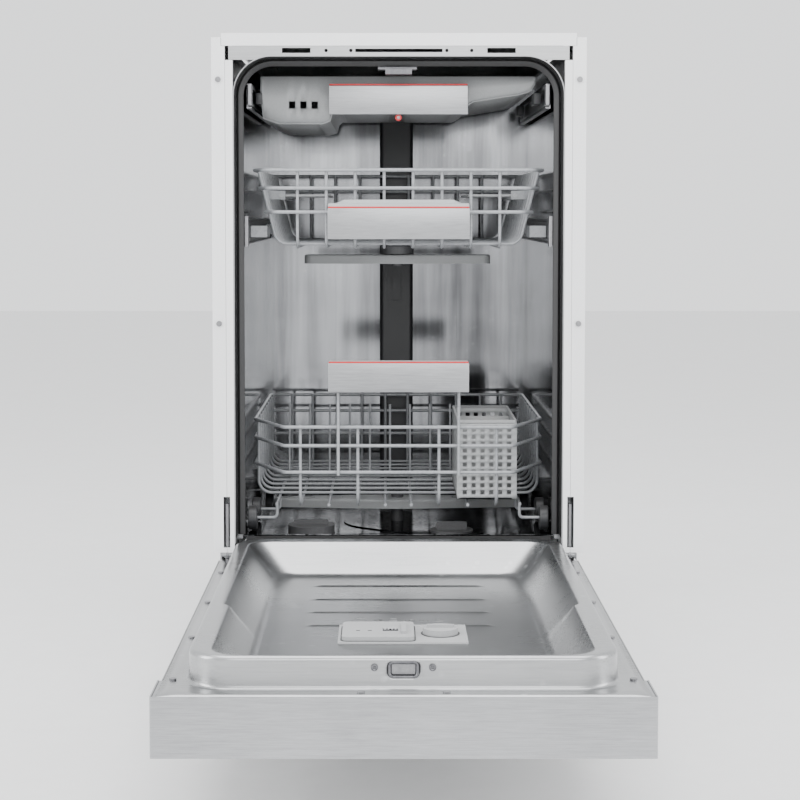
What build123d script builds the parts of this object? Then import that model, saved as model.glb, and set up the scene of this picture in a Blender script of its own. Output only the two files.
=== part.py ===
from build123d import *
import os

# Built-in dishwasher of the 45 cm class, stored with its door open. Millimetres, +Z up, front plane of the
# cabinet at Y = 0 while modelling; everything is shifted along Y on export so that the origin lies under the
# middle of the bounding box, on the floor.

# Overall sizes
WIDTH = 448.0
HEIGHT = 815.0
CABINET_DEPTH = 505.0
CONNECTION_REACH = 11.0        # water and power connections behind the rear panel

# Sheets and clearances
PANEL_T = 1.0
TUB_T = 1.0
PLASTIC_T = 3.0
FIT = 0.5                      # between neighbouring shells
RUN = 0.05                     # radial clearance of pins in their bores
ROLL_GAP = 0.4                 # under the rollers

# Tub
SIDE_CAVITY = 34.0             # from the tub's inner wall to the outside of the cabinet
TOP_CAVITY = 35.0
TUB_FRONT = 36.0
REAR_CAVITY = 25.0
TUB_CORNER = 38.0
LEDGE_Z = 206.0                # running ledges of the tub floor and sill
LEDGE_W = 22.0
BASIN_DEPTH = 20.0
COLLAR_STEP = 7.4              # collar stands this far outside the tub wall
SIDE_FLANGE = 16.0
STRIP_W = 9.0
TOP_STRIP_H = 15.0

# Base
SIDE_BOTTOM = 190.0
PLINTH_BACK = 100.0
BASE_BOTTOM = 20.0
BASE_TOP = 112.0
FOOT_R = 19.0
FOOT_STUD_R = 5.0

# Door hinge and door
HINGE_Y = 8.0
HINGE_Z = 186.6
LEVER_T = 3.0
PIN_R = 3.5
DOOR_T = 55.0
INNER_DROP = 10.0              # inner face of the door below the hinge axis when open
DOOR_TOP_GAP = 4.0
FASCIA_L = 60.0
FASCIA_T = 1.5
SKIN_INSET = 4.0
RIM_H = 30.0
RIM_END = 27.0                 # foot of the far rim wall from the door's end
RIM_LEAN = 1.5                 # lean of the far rim wall
RIM_W = 21.0
RIM_CORNER = 40.0              # stays inside the collar's corner when the door is shut
PAN_FAR = 5.0                  # width of the rim at its far end
PAN_NEAR = 22.0                # and next to the hinge
PAN_LEAN = 28.0
PAN_CORNER = 26.0
LATCH_HALF = 12.0
LATCH_Z = (12.0, 24.0)         # latch opening above the door's inner face
LINER_T = 1.2
LINER_FLOOR_DROP = 6.6
POCKET_L = 180.0
POCKET_W = 34.0
POCKET_D = 26.0

# Detergent dispenser
DISP_X0 = -64.0
DISP_X1 = 67.0
DISP_FROM_HINGE = 320.0
DISP_L = 80.0
DISP_DEPTH = 34.0

# Wires
RAIL_R = 2.2
WIRE_R = 1.9
WELD = 0.02                    # wires bite this far into each other where they are welded
WIRE_BEND = 16.0
WIRE_PITCH = 37.0

# Lower basket
LOWER_FRONT = 41.0
RACK_BACK_GAP = 36.0           # behind the racks, up to the tub's back
LOWER_NOSE = 41.0              # front half width is this much less than the sides'
LOWER_NOSE_L = 87.0
LOWER_FLOOR = 243.5
LOWER_RAILS = (282.0, 315.0, 338.0)
ROLLER_R = 15.0
ROLLER_W = 11.0
ROLLER_FROM_FRONT = (25.0, 91.0, 359.0)
HANDLE_L = 172.0
HANDLE_H = 38.0
HANDLE_T = 3.0
LOWER_HANDLE_Z = 382.5
TINE_H = 92.0
CUTLERY_W = 74.0
CUTLERY_L = 172.0
CUTLERY_H = 99.0

# Upper basket
UPPER_FRONT = 27.0
UPPER_FLOOR_DROP = 217.0       # floor wires below the tub's top
UPPER_RAIL_STEPS = (39.0, 68.0, 90.0)
UPPER_NOSE = 12.0
UPPER_HANDLE_DROP = 211.0
ARM_R_UPPER = 124.0
ARM_R_LOWER = 165.0
LOWER_POST_R = 8.0
UPPER_POST_R = 9.0
ARM_H = 12.0
ARM_GAP = 1.0                  # under the lower arm, above the ledges

# Slide rails
RAIL_FRONT = 45.0
UPPER_SLIDE_DROP = 202.0       # centre of the upper basket's rails below the tub's top
DRAWER_SLIDE_DROP = 37.0
SLIDE_H = 24.0
FIXED_H = 30.0
MIDDLE_W = 5.0

# Cutlery drawer
DRAWER_FRONT = 92.0
DRAWER_T = 2.0

# Fittings
FIX_HOLE_R = 3.0
SUMP_R = 70.0
FILTER_X = 70.0
FILTER_R = 28.0
SALT_X = -112.0
SALT_R = 30.0
GUIDE_Y = 98.0
GUIDE_Z = 226.0
SPRING_R = 6.0
DISPLAY_X = 136.0
BUTTON_R = 8.0
BUTTON_TRAVEL = 2.0
CUP_X = (-54.0, 8.0)
RINSE_R = 18.0
STUB_R = 1.9
CUTLERY_X = 110.0
CUTLERY_T = 2.0
CUTLERY_HOLE_PITCH = 10.8
CUP_ROD_R = 2.6
WING_X = 84.0
DRAWER_RAIL_IN = 4.6

# Derived sizes
HALF = WIDTH / 2
TUB_HALF = HALF - SIDE_CAVITY
TUB_TOP = HEIGHT - TOP_CAVITY
TUB_BACK = CABINET_DEPTH - REAR_CAVITY
COLLAR_HALF = TUB_HALF + COLLAR_STEP
COLLAR_TOP = TUB_TOP + COLLAR_STEP
COLLAR_R = TUB_CORNER + COLLAR_STEP
HINGE_X = HALF - SIDE_FLANGE
ARM_Y = (TUB_FRONT + TUB_BACK) / 2 - 8.0
RACK_BACK = TUB_BACK - RACK_BACK_GAP
LEDGE_IN = TUB_HALF - LEDGE_W

INNER_Z = HINGE_Z - INNER_DROP
OUTER_Z = INNER_Z - DOOR_T
DOOR_END = HINGE_Y - (HEIGHT - DOOR_TOP_GAP - HINGE_Z)
DOOR_NEAR = HINGE_Y + INNER_DROP + 0.6
BODY_HALF = HALF - SKIN_INSET
RIM_HALF = COLLAR_HALF - 1.9
RIM_NEAR = HINGE_Y - 2.0
RIM_FAR = DOOR_END + RIM_END
RIM_TOP = INNER_Z + RIM_H
LINER_FLOOR = INNER_Z - LINER_FLOOR_DROP
DISP_Y1 = HINGE_Y - DISP_FROM_HINGE
DISP_Y0 = DISP_Y1 - DISP_L

LOWER_HALF = TUB_HALF - 8.0
UPPER_HALF = TUB_HALF - 14.0
UPPER_LOW_HALF = UPPER_HALF - 23.0
UPPER_FLOOR = TUB_TOP - UPPER_FLOOR_DROP
UPPER_SLIDE_Z = TUB_TOP - UPPER_SLIDE_DROP
DRAWER_SLIDE_Z = TUB_TOP - DRAWER_SLIDE_DROP
FIXED_OUT = TUB_HALF - 0.4
Y_CENTRE = (CABINET_DEPTH + CONNECTION_REACH + DOOR_END) / 2

BUTTON_X = -HALF + 42.0
FRONT_FOOT_Y = PLINTH_BACK + 42.0
REAR_FOOT_Y = CABINET_DEPTH - 52.0
FOOT_X = HALF - 36.0
FEET = ((-FOOT_X, FRONT_FOOT_Y), (FOOT_X, FRONT_FOOT_Y), (0.0, REAR_FOOT_Y))
INLET = (HALF - 90.0, 150.0, 13.0)
DRAIN = (-HALF + 80.0, 140.0, 10.0)
POWER = (-HALF + 150.0, 150.0, 12.0)
FILTER_Y = ARM_Y - 85.0
SALT_Y = ARM_Y - 92.0
RINSE = (40.0, (DISP_Y0 + DISP_Y1) / 2)
ROLLER_Z = RIM_TOP + ROLL_GAP + ROLLER_R
ROLLER_OUT = TUB_HALF - 3.5
HALF_ROD = LOWER_HALF - 24.0
TINE_Y = LOWER_FRONT + 226.0
TINE_Z = LOWER_FLOOR + 2 * WIRE_R + 1.2
CUTLERY_CELLS = [LOWER_FRONT + 19 + CUTLERY_L * i / 3 for i in range(4)]
CUP_Z = UPPER_FLOOR + 60.0
CUP_PIVOT_X = UPPER_LOW_HALF - 6.0
CUP_Y = (UPPER_FRONT + 90.0, UPPER_FRONT + 330.0)
WING_FLOORS = (TUB_TOP - 68.0, TUB_TOP - 50.0, TUB_TOP - 38.0)
UPPER_HANDLE_Z = TUB_TOP - UPPER_HANDLE_DROP
DRAWER_HANDLE_Z = TUB_TOP - 58.0
UPPER_ARM_Z = UPPER_FLOOR - 3 * WIRE_R - 10.8 - ARM_H - 1.0


# Shapes used throughout

def block(x0, x1, y0, y1, z0, z1):
    """A box between two corners."""
    return Pos((x0 + x1) / 2, (y0 + y1) / 2, (z0 + z1) / 2) * Box(x1 - x0, y1 - y0, z1 - z0)


def both(shape):
    """A shape and its mirror image across the middle plane."""
    return [shape, mirror(shape, about=Plane.YZ)]


def upright(x, y, z0, z1, radius):
    """A vertical cylinder."""
    return Pos(x, y, (z0 + z1) / 2) * Cylinder(radius, z1 - z0)


def across(x0, x1, y, z, radius):
    """A cylinder along X."""
    return Pos((x0 + x1) / 2, y, z) * Rot(0, 90, 0) * Cylinder(radius, x1 - x0)


def along(x, y0, y1, z, radius):
    """A cylinder along Y."""
    return Pos(x, (y0 + y1) / 2, z) * Rot(90, 0, 0) * Cylinder(radius, y1 - y0)


def arch(half, bottom, top, radius, y0, y1):
    """A prism along Y whose section is a rectangle with its two top corners rounded."""
    section = Pos(0, (bottom + top) / 2) * Rectangle(2 * half, top - bottom)
    section = fillet(section.vertices().sort_by(Axis.Y)[-2:], radius)
    return extrude(Plane.XZ.offset(-y1) * section, y1 - y0)


def tray_form(half, y0, y1, radius, z0, lean, y_lean0, y_lean1, z1, narrow_top=False):
    """A lofted tray shape between two rounded rectangles, the smaller one at the bottom unless narrow_top."""
    wide = Pos(0, (y0 + y1) / 2) * RectangleRounded(2 * half, y1 - y0, radius)
    low_y0 = y0 + y_lean0
    low_y1 = y1 - y_lean1
    low_l = low_y1 - low_y0
    small = Pos(0, low_y0 + low_l / 2) * RectangleRounded(2 * (half - lean), low_l, radius)
    sections = (wide, small) if narrow_top else (small, wide)
    return loft([Pos(0, 0, z0) * sections[0], Pos(0, 0, z1) * sections[1]])


def bent_wire(points, radius, bend):
    """A round wire swept along straight runs with rounded bends."""
    path = FilletPolyline(*points, radius=bend)
    return sweep(Plane(origin=path @ 0, z_dir=path % 0) * Circle(radius), path=path)


def spread(first, last, pitch):
    """Evenly spaced positions from first to last, no further apart than pitch."""
    count = max(1, round((last - first) / pitch))
    return [first + (last - first) * i / count for i in range(count + 1)]


# Cabinet

def side_panel():
    """Right side: one folded sheet with a front flange, its return lip and a top flange, over the plinth."""
    top = HEIGHT - 5.0
    sheet = block(HALF - PANEL_T, HALF, 0, CABINET_DEPTH, SIDE_BOTTOM, top)
    sheet += block(HALF - PANEL_T, HALF, PLINTH_BACK, CABINET_DEPTH, BASE_BOTTOM + 40, SIDE_BOTTOM)
    sheet += block(HALF - SIDE_FLANGE, HALF, 0, PANEL_T, SIDE_BOTTOM, top)
    sheet += block(HALF - SIDE_FLANGE, HALF - SIDE_FLANGE + PANEL_T, 0, 12, SIDE_BOTTOM + 70, top)
    sheet -= block(HALF - SIDE_FLANGE - 1, HALF - 11.5, -1, 13, HEIGHT - TOP_STRIP_H - 0.3, HEIGHT)
    sheet += block(HALF - 11.5, HALF, 0, CABINET_DEPTH, top - PANEL_T, top)
    slot = block(HINGE_X - 4, HINGE_X + 4, -1, 3, SIDE_BOTTOM + 6, SIDE_BOTTOM + 68)
    return sheet - slot


def frame_strip():
    """White strip between the side panel's flange and the steel collar."""
    x0 = COLLAR_HALF + TUB_T + 0.3
    top = COLLAR_TOP - 4.4
    strip = block(x0, x0 + STRIP_W, 0.3, 2.3, SIDE_BOTTOM, top)
    strip += block(x0, x0 + 2, 0.3, 14, SIDE_BOTTOM + 78, top)
    return strip - block(HINGE_X - 4, HINGE_X + 4, -1, 5, SIDE_BOTTOM + 6, SIDE_BOTTOM + 68)


def top_cover():
    """White top sheet with a folded front and rear edge."""
    half = HALF - 12.0
    low = HEIGHT - TOP_STRIP_H
    cover = block(-half, half, 0, CABINET_DEPTH, HEIGHT - PANEL_T, HEIGHT)
    cover += block(-half, half, 0, PANEL_T, low, HEIGHT)
    cover += block(-half, half, CABINET_DEPTH - PANEL_T, CABINET_DEPTH, low, HEIGHT)
    for x in (-half + 16, half - 16):
        cover -= Pos(x, 40, HEIGHT) * Cylinder(FIX_HOLE_R, 6)
        cover -= Pos(x, CABINET_DEPTH - 40, HEIGHT) * Cylinder(FIX_HOLE_R, 6)
    return cover


def front_frame():
    """Stainless collar round the opening, its seat for the gasket and the punched top flange."""
    low = LEDGE_Z - 5.0
    collar = arch(COLLAR_HALF + TUB_T, low, COLLAR_TOP + TUB_T, COLLAR_R + TUB_T, 0.3, TUB_FRONT)
    collar -= arch(COLLAR_HALF, low - 1, COLLAR_TOP, COLLAR_R, 0, TUB_FRONT - TUB_T)
    collar -= arch(TUB_HALF, low - 1, TUB_TOP, TUB_CORNER, 0, TUB_FRONT + 1)
    sill_half = TUB_HALF + TUB_T + 0.3
    collar -= block(-sill_half, sill_half, TUB_FRONT - 6.3, TUB_FRONT + 1, low - 1, LEDGE_Z + 0.2)
    flange_half = COLLAR_HALF + 6
    flange = block(-flange_half, flange_half, 0.3, 1.3, COLLAR_TOP - 4, HEIGHT - TOP_STRIP_H - 0.3)
    for x in both_sides(COLLAR_HALF * 0.62):
        flange -= block(x - 17, x + 17, -1, 3, COLLAR_TOP + 4, COLLAR_TOP + 10)
    for x in (*both_sides(COLLAR_HALF * 0.44), *both_sides(COLLAR_HALF * 0.29)):
        flange -= along(x, -1, 3, COLLAR_TOP + 7, 2.0)
    flange -= block(-52, 52, -1, 3, COLLAR_TOP + 5, COLLAR_TOP + 9)
    flange -= arch(COLLAR_HALF, low - 1, COLLAR_TOP, COLLAR_R, 0, TUB_FRONT - TUB_T)
    return collar + flange


def both_sides(x):
    """A position and its mirror."""
    return (-x, x)


def tub_wrap():
    """Both tub walls and the tub top, one bent sheet."""
    y0 = TUB_FRONT + 0.2
    wrap = arch(TUB_HALF + TUB_T, LEDGE_Z + 0.2, TUB_TOP + TUB_T, TUB_CORNER + TUB_T, y0, TUB_BACK)
    return wrap - arch(TUB_HALF, LEDGE_Z - 1, TUB_TOP, TUB_CORNER, y0 - 1, TUB_BACK + 1)


def tub_back():
    """Back wall of the tub with two pressed vertical ribs."""
    y0 = TUB_BACK + 0.2
    wall = arch(TUB_HALF + TUB_T, LEDGE_Z + 0.2, TUB_TOP + TUB_T, TUB_CORNER + TUB_T, y0, y0 + TUB_T)
    for x in both_sides(TUB_HALF * 0.55):
        wall += block(x - 16, x + 16, y0 - 3, y0, LEDGE_Z + 60, TUB_TOP - 90)
    return wall


def tub_floor():
    """Tray with running ledges along its sides, a basin and holes for the sump and the salt cap."""
    y0 = TUB_FRONT - 6
    y1 = TUB_BACK + 0.2 + TUB_T
    outer = TUB_HALF + TUB_T
    floor_z = LEDGE_Z - BASIN_DEPTH
    tray = block(-outer, outer, y0, y1, LEDGE_Z - TUB_T, LEDGE_Z)
    tray += block(-LEDGE_IN - TUB_T, LEDGE_IN + TUB_T, y0 + 7, y1 - 12, floor_z - TUB_T, LEDGE_Z)
    tray += block(-outer + 4, outer - 4, y0, y0 + TUB_T, SIDE_BOTTOM - 30, LEDGE_Z)
    tray -= block(-LEDGE_IN, LEDGE_IN, y0 + 8, y1 - 13, floor_z, LEDGE_Z + 1)
    tray -= Pos(0, 0, floor_z - 5) * extrude(sump_outline(-3), 10)
    tray -= upright(SALT_X, SALT_Y, floor_z - 5, floor_z + 5, SALT_R + 1)
    return tray


def sump_outline(grow):
    """Outline of the sump: a large and a small circle in one hull."""
    main = Pos(0, ARM_Y) * Circle(SUMP_R + grow)
    small = Pos(FILTER_X, FILTER_Y) * Circle(FILTER_R + 12 + grow)
    return make_hull([*main.edges(), *small.edges()])


def sump():
    """Plastic sump pot hung under the tub floor, with the spray arm's post and the filter's well."""
    top = LEDGE_Z - BASIN_DEPTH - TUB_T - 0.3
    pot = Pos(0, 0, top - 3) * extrude(sump_outline(8), 3)
    pot += Pos(0, 0, top - 60) * extrude(sump_outline(-6), 60)
    pot -= Pos(0, 0, top - 57) * extrude(sump_outline(-9), 60)
    post = upright(0, ARM_Y, top - 58, LEDGE_Z + ARM_GAP + ARM_H + 4.5, LOWER_POST_R)
    return pot + post


def filter_plate():
    """Perforated steel plate over the sump."""
    top = LEDGE_Z - BASIN_DEPTH + 1.5
    plate = Pos(0, 0, top - 1.2) * extrude(sump_outline(2), 1.2)
    plate -= upright(0, ARM_Y, top - 5, top + 5, LOWER_POST_R + 0.6)
    plate -= upright(FILTER_X, FILTER_Y, top - 5, top + 5, FILTER_R + 0.4)
    for ring, count in ((26, 12), (40, 18), (54, 24)):
        holes = [upright(x, y, top - 3, top + 3, 1.6) for x, y in ring_points(0, ARM_Y, ring, count)
                 if (x - FILTER_X) ** 2 + (y - FILTER_Y) ** 2 > (FILTER_R + 4) ** 2]
        plate -= holes
    return plate


def ring_points(x, y, radius, count):
    """Points evenly round a circle."""
    spokes = [Vector(radius, 0).rotate(Axis.Z, 360 * i / count) for i in range(count)]
    return [(spoke.X + x, spoke.Y + y) for spoke in spokes]


def filter_cylinder():
    """Fine filter with a ribbed grip, turned a quarter to lock."""
    z = LEDGE_Z - BASIN_DEPTH
    body = upright(FILTER_X, FILTER_Y, z - 42, z + 4, FILTER_R)
    body -= upright(FILTER_X, FILTER_Y, z - 50, z - 2, FILTER_R - 2)
    grip = block(FILTER_X - 20, FILTER_X + 20, FILTER_Y - 3, FILTER_Y + 3, z + 4, z + 14)
    return body + fillet(grip.edges().filter_by(Axis.Y), 2.5)


def salt_container():
    """Softener's salt container under the tub floor, with a threaded neck."""
    z = LEDGE_Z - BASIN_DEPTH - TUB_T - 0.3
    body = upright(SALT_X, SALT_Y, z - 66, z, SALT_R + 10)
    body += block(SALT_X - 40, SALT_X + 30, SALT_Y, SALT_Y + 160, z - 66, z - 6)
    body += upright(SALT_X, SALT_Y, z, z + 7, SALT_R - 4)
    return body - upright(SALT_X, SALT_Y, z - 60, z + 8, SALT_R - 7)


def salt_cap():
    """Screw cap with a cross grip."""
    z = LEDGE_Z - BASIN_DEPTH
    cap = upright(SALT_X, SALT_Y, z + 0.6, z + 12, SALT_R)
    cap -= upright(SALT_X, SALT_Y, z, z + 8.5, SALT_R - 4 + RUN)
    cap += block(SALT_X - 22, SALT_X + 22, SALT_Y - 3, SALT_Y + 3, z + 12, z + 18)
    return cap


def base_tray():
    """Moulded base that carries the pumps, with a raised rear wall and corner posts."""
    half = HALF - PANEL_T - FIT
    y1 = CABINET_DEPTH - PANEL_T - FIT
    tray = block(-half, half, PLINTH_BACK, y1, BASE_BOTTOM, BASE_TOP)
    tray -= block(-half + PLASTIC_T, half - PLASTIC_T, PLINTH_BACK + PLASTIC_T, y1 - PLASTIC_T,
                  BASE_BOTTOM + PLASTIC_T, BASE_TOP + 1)
    for x in both_sides(half - 13):
        tray += block(x - 10, x + 10, PLINTH_BACK + 60, PLINTH_BACK + 80, BASE_BOTTOM, SIDE_BOTTOM - 34)
        tray += block(x - 10, x + 10, y1 - 26, y1 - PLASTIC_T, BASE_BOTTOM, SIDE_BOTTOM - 34)
    for x, y in FEET:
        tray += upright(x, y, BASE_BOTTOM, BASE_BOTTOM + 40, FOOT_STUD_R + 5)
        tray -= upright(x, y, BASE_BOTTOM - 1, BASE_BOTTOM + 41, FOOT_STUD_R + RUN)
    return tray


def foot(x, y):
    """Levelling foot: a disc, a hexagon to turn it by and a stud in the base."""
    disc = upright(x, y, 0, 6, FOOT_R)
    disc = chamfer(disc.edges().group_by(Axis.Z)[-1], 1.5)
    hexagon = Pos(x, y, 6) * extrude(RegularPolygon(11, 6), 8)
    return disc + hexagon + upright(x, y, 14, BASE_BOTTOM + 78, FOOT_STUD_R)


def kick_plate():
    """Plinth cover below the door, bent from one sheet."""
    half = HALF - 6
    plate = block(-half, half, PLINTH_BACK - 4, PLINTH_BACK - 3, 32, SIDE_BOTTOM - 22)
    plate += block(-half, half, PLINTH_BACK - 4, PLINTH_BACK - 0.5, SIDE_BOTTOM - 23, SIDE_BOTTOM - 22)
    return plate + block(-half, half, PLINTH_BACK - 4, PLINTH_BACK - 0.5, 32, 33)


def rear_panel():
    """Rear sheet with vent slots."""
    half = HALF - PANEL_T - FIT
    y1 = CABINET_DEPTH
    sheet = block(-half, half, y1 - PANEL_T, y1, BASE_TOP + 4, HEIGHT - TOP_STRIP_H - 1)
    sheet -= [block(x - 2.5, x + 2.5, y1 - 3, y1 + 1, HEIGHT - 150, HEIGHT - 90) for x in spread(-90, 90, 15)]
    for x, z, radius in (INLET, DRAIN, POWER):
        sheet -= along(x, y1 - 3, y1 + 1, z, radius + 1)
    return sheet


def counterweight():
    """Cast block low at the back, with room for the rear foot's stud."""
    half = HALF - 60
    y1 = CABINET_DEPTH - 14
    weight = block(-half, half, y1 - 82, y1, BASE_BOTTOM + 4, BASE_BOTTOM + 76)
    return weight - upright(0, REAR_FOOT_Y, 0, BASE_BOTTOM + 90, FOOT_STUD_R + 7)


def circulation_pump():
    """Motor and volute lying across the base, with the outlet to the sump."""
    x = 60.0
    y = CABINET_DEPTH - 160
    z = BASE_BOTTOM + 52
    pump = across(x - 20, x + 74, y, z, 38)
    pump += across(x - 46, x - 20, y, z, 45)
    pump += across(x + 74, x + 80, y, z, 20)
    return pump - across(x + 76, x + 81, y, z, 8)


def drain_pump():
    """Small pump in the left of the base with its outlet spigot through the rear panel."""
    x, z, radius = DRAIN
    pump = along(x, CABINET_DEPTH - 190, CABINET_DEPTH - 118, BASE_BOTTOM + 40, 26)
    pump += upright(x, CABINET_DEPTH - 128, BASE_BOTTOM + 40, z, 9)
    pump += along(x, CABINET_DEPTH - 128, CABINET_DEPTH - 9, z, radius - 1)
    pump += along(x, CABINET_DEPTH - 9, CABINET_DEPTH + CONNECTION_REACH, z, radius)
    return pump - along(x, CABINET_DEPTH - 100, CABINET_DEPTH + CONNECTION_REACH + 1, z, radius - 2)


def inlet_valve():
    """Solenoid valve with the threaded water inlet."""
    x, z, radius = INLET
    valve = block(x - 16, x + 16, CABINET_DEPTH - 60, CABINET_DEPTH - 8, z - 18, z + 34)
    valve += along(x, CABINET_DEPTH - 9, CABINET_DEPTH + CONNECTION_REACH, z, radius)
    return valve - along(x, CABINET_DEPTH - 20, CABINET_DEPTH + CONNECTION_REACH + 1, z, radius - 3)


def power_inlet():
    """Strain relief of the mains connection."""
    x, z, radius = POWER
    gland = along(x, CABINET_DEPTH - 18, CABINET_DEPTH + CONNECTION_REACH - 2, z, radius)
    gland += along(x, CABINET_DEPTH + 0.3, CABINET_DEPTH + 3, z, radius + 4)
    return gland - along(x, CABINET_DEPTH - 19, CABINET_DEPTH + CONNECTION_REACH, z, 4)


def water_duct():
    """Feed duct up the tub's back wall, with docking ports for the upper feed pipe."""
    y1 = TUB_BACK - 3.2
    duct = block(-24, 24, y1 - 17, y1, LEDGE_Z + 6, TUB_TOP - 46)
    duct = fillet(duct.edges().filter_by(Axis.Z).sort_by(Axis.Y)[:2], 6)
    duct -= block(-7, 7, y1 - 18, y1 - 13, UPPER_FLOOR - 90, UPPER_FLOOR - 54)
    return duct - along(0, y1 - 18, y1 - 8, UPPER_FLOOR - 12, 5)


def hinge_bracket():
    """Right bracket: two cheeks, a base plate and the hinge pin between them."""
    x0 = HINGE_X - 7
    x1 = HINGE_X + 7
    z0 = HINGE_Z - 6.4
    cheeks = block(x0 - 1.5, x0, 2.6, 62, z0, HINGE_Z + 76)
    cheeks += block(x1, x1 + 1.5, 2.6, 62, z0, HINGE_Z + 76)
    cheeks += block(x0 - 1.5, x1 + 1.5, 60.5, 62, z0 - 8, HINGE_Z + 76)
    cheeks -= block(x0 + 5, x1 - 5, 60, 63, z0, HINGE_Z + 70)
    return cheeks + across(x0, x1, HINGE_Y, HINGE_Z, PIN_R)


def cable_guide():
    """Nylon guide that turns the spring's cable downwards."""
    return across(HINGE_X - 4, HINGE_X + 4, GUIDE_Y, GUIDE_Z, 8)


def door_spring():
    """Right extension spring, its hooks and the cable that runs over the guide to the lever's tail."""
    y = GUIDE_Y + 9.4
    coil = upright(HINGE_X, y, 122, 186, SPRING_R) - upright(HINGE_X, y, 124, 184, SPRING_R - 2)
    hook = upright(HINGE_X, y, 116, 122, 1.2)
    rise = upright(HINGE_X, y, 186, GUIDE_Z, 0.8)
    top = HINGE_Z + 57
    turn = (HINGE_X, y - 0.4, GUIDE_Z + 11)
    run = bent_wire([(HINGE_X, y, GUIDE_Z), turn, (HINGE_X, HINGE_Y + 4, top)], 0.8, 3)
    return coil + hook + rise + run


def fixed_rail(z, x1):
    """Right outer rail, a C section open to the middle."""
    rail = block(x1 - 5.8, x1, RAIL_FRONT, TUB_BACK - 12, z - FIXED_H / 2, z + FIXED_H / 2)
    half_gap = SLIDE_H / 2 + 1
    return rail - block(x1 - 6.8, x1 - 1.2, RAIL_FRONT - 1, TUB_BACK, z - half_gap, z + half_gap)


def middle_rail(z, x1, cap_z0, cap_z1):
    """Right telescopic rail with its end cap."""
    out = x1 - 1.8
    rail = block(out - MIDDLE_W, out, RAIL_FRONT, TUB_BACK - 22, z - SLIDE_H / 2, z + SLIDE_H / 2)
    rail -= block(out - MIDDLE_W - 1, out - 1.2, RAIL_FRONT + 4, TUB_BACK - 23, z - 8.5, z + 8.5)
    cap = block(out - MIDDLE_W, out + 1, RAIL_FRONT - 11, RAIL_FRONT, cap_z0, cap_z1)
    cap = fillet(cap.edges().filter_by(Axis.Z), 2)
    return rail + cap


def strike_hook():
    """Steel loop of the door lock on a small plastic base under the tub's top."""
    z1 = TUB_TOP - 0.3
    base = block(-25, 22, TUB_FRONT + 1, TUB_FRONT + 24, z1 - 5, z1)
    loop = block(-16, 16, TUB_FRONT - 6.5, TUB_FRONT + 16, z1 - 11, z1 - 5)
    return base + loop - block(-10, 10, TUB_FRONT - 4, TUB_FRONT + 2, z1 - 12, z1 - 4)


def gaskets():
    """Black gasket seated in the collar, and the lip seal along the sill."""
    y0 = TUB_FRONT - 7
    y1 = TUB_FRONT - TUB_T - 0.3
    seal = arch(COLLAR_HALF - 0.3, LEDGE_Z + 1, COLLAR_TOP - 0.3, COLLAR_R - 0.3, y0, y1)
    seal -= arch(TUB_HALF + 0.4, LEDGE_Z, TUB_TOP + 0.4, TUB_CORNER + 0.4, y0 - 1, y1 + 1)
    lip = block(-TUB_HALF + 2, TUB_HALF - 2, y0 + 0.1, y0 + 0.8, LEDGE_Z - 14, LEDGE_Z - 1)
    return [seal, lip]


def cabinet_screws():
    """Identical pan-head screws through the side flanges."""
    places = [(x, z) for z in (TUB_TOP - 20, TUB_TOP * 0.6) for x in both_sides(HINGE_X + 8)]
    return [along(x, -1.8, -0.3, z, 3.4) + along(x, -0.3, 0, z, 1.9) for x, z in places]


# Door, modelled open

def door_liner():
    """Formed inner sheet: flange, raised rims, recessed floor, hinge slots, latch and dispenser holes."""
    t = LINER_T
    flange = block(-BODY_HALF + 1.4, BODY_HALF - 1.4, DOOR_END + 2, DOOR_NEAR, INNER_Z - t, INNER_Z)
    rim = tray_form(RIM_HALF + 1, RIM_FAR, RIM_NEAR + 1, RIM_CORNER, INNER_Z - t,
                    1, RIM_LEAN, 1, RIM_TOP, True)
    rim_in = tray_form(RIM_HALF + 1 - t, RIM_FAR + t, RIM_NEAR + 1 - t, RIM_CORNER - t, INNER_Z - 2 * t,
                       1, RIM_LEAN, 1, RIM_TOP - t, True)
    half = RIM_HALF - RIM_W
    y0 = RIM_FAR + RIM_LEAN + PAN_FAR
    y1 = RIM_NEAR - PAN_NEAR
    pan = tray_form(half, y0, y1, PAN_CORNER, LINER_FLOOR, PAN_LEAN, PAN_LEAN, PAN_LEAN, RIM_TOP + 0.01)
    pan_out = tray_form(half + t, y0 - t, y1 + t, PAN_CORNER + 1, LINER_FLOOR - t,
                        PAN_LEAN, PAN_LEAN, PAN_LEAN, RIM_TOP)
    liner = flange + rim + pan_out
    liner -= rim_in - pan_out
    liner -= pan
    for x in both_sides(HINGE_X):
        liner -= block(x - 4, x + 4, HINGE_Y - 8, DOOR_NEAR + 1, INNER_Z - 5, INNER_Z + 5)
    latch_z = [INNER_Z + z for z in LATCH_Z]
    liner -= block(-LATCH_HALF, LATCH_HALF, RIM_FAR - 3, RIM_FAR + 3, *latch_z)
    liner -= block(DISP_X0 + 3, DISP_X1 - 3, DISP_Y0 + 3, DISP_Y1 - 3, LINER_FLOOR - 5, LINER_FLOOR + 5)
    return liner


def door_skin():
    """Outer panel with folded sides and near edge."""
    x = BODY_HALF
    y0 = DOOR_END + FASCIA_L + 0.6
    skin = block(-x, x, y0, DOOR_NEAR + 1, OUTER_Z, INNER_Z)
    skin -= block(-x + 1, x - 1, y0 - 1, DOOR_NEAR, OUTER_Z + 1, INNER_Z + 1)
    return skin


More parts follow.
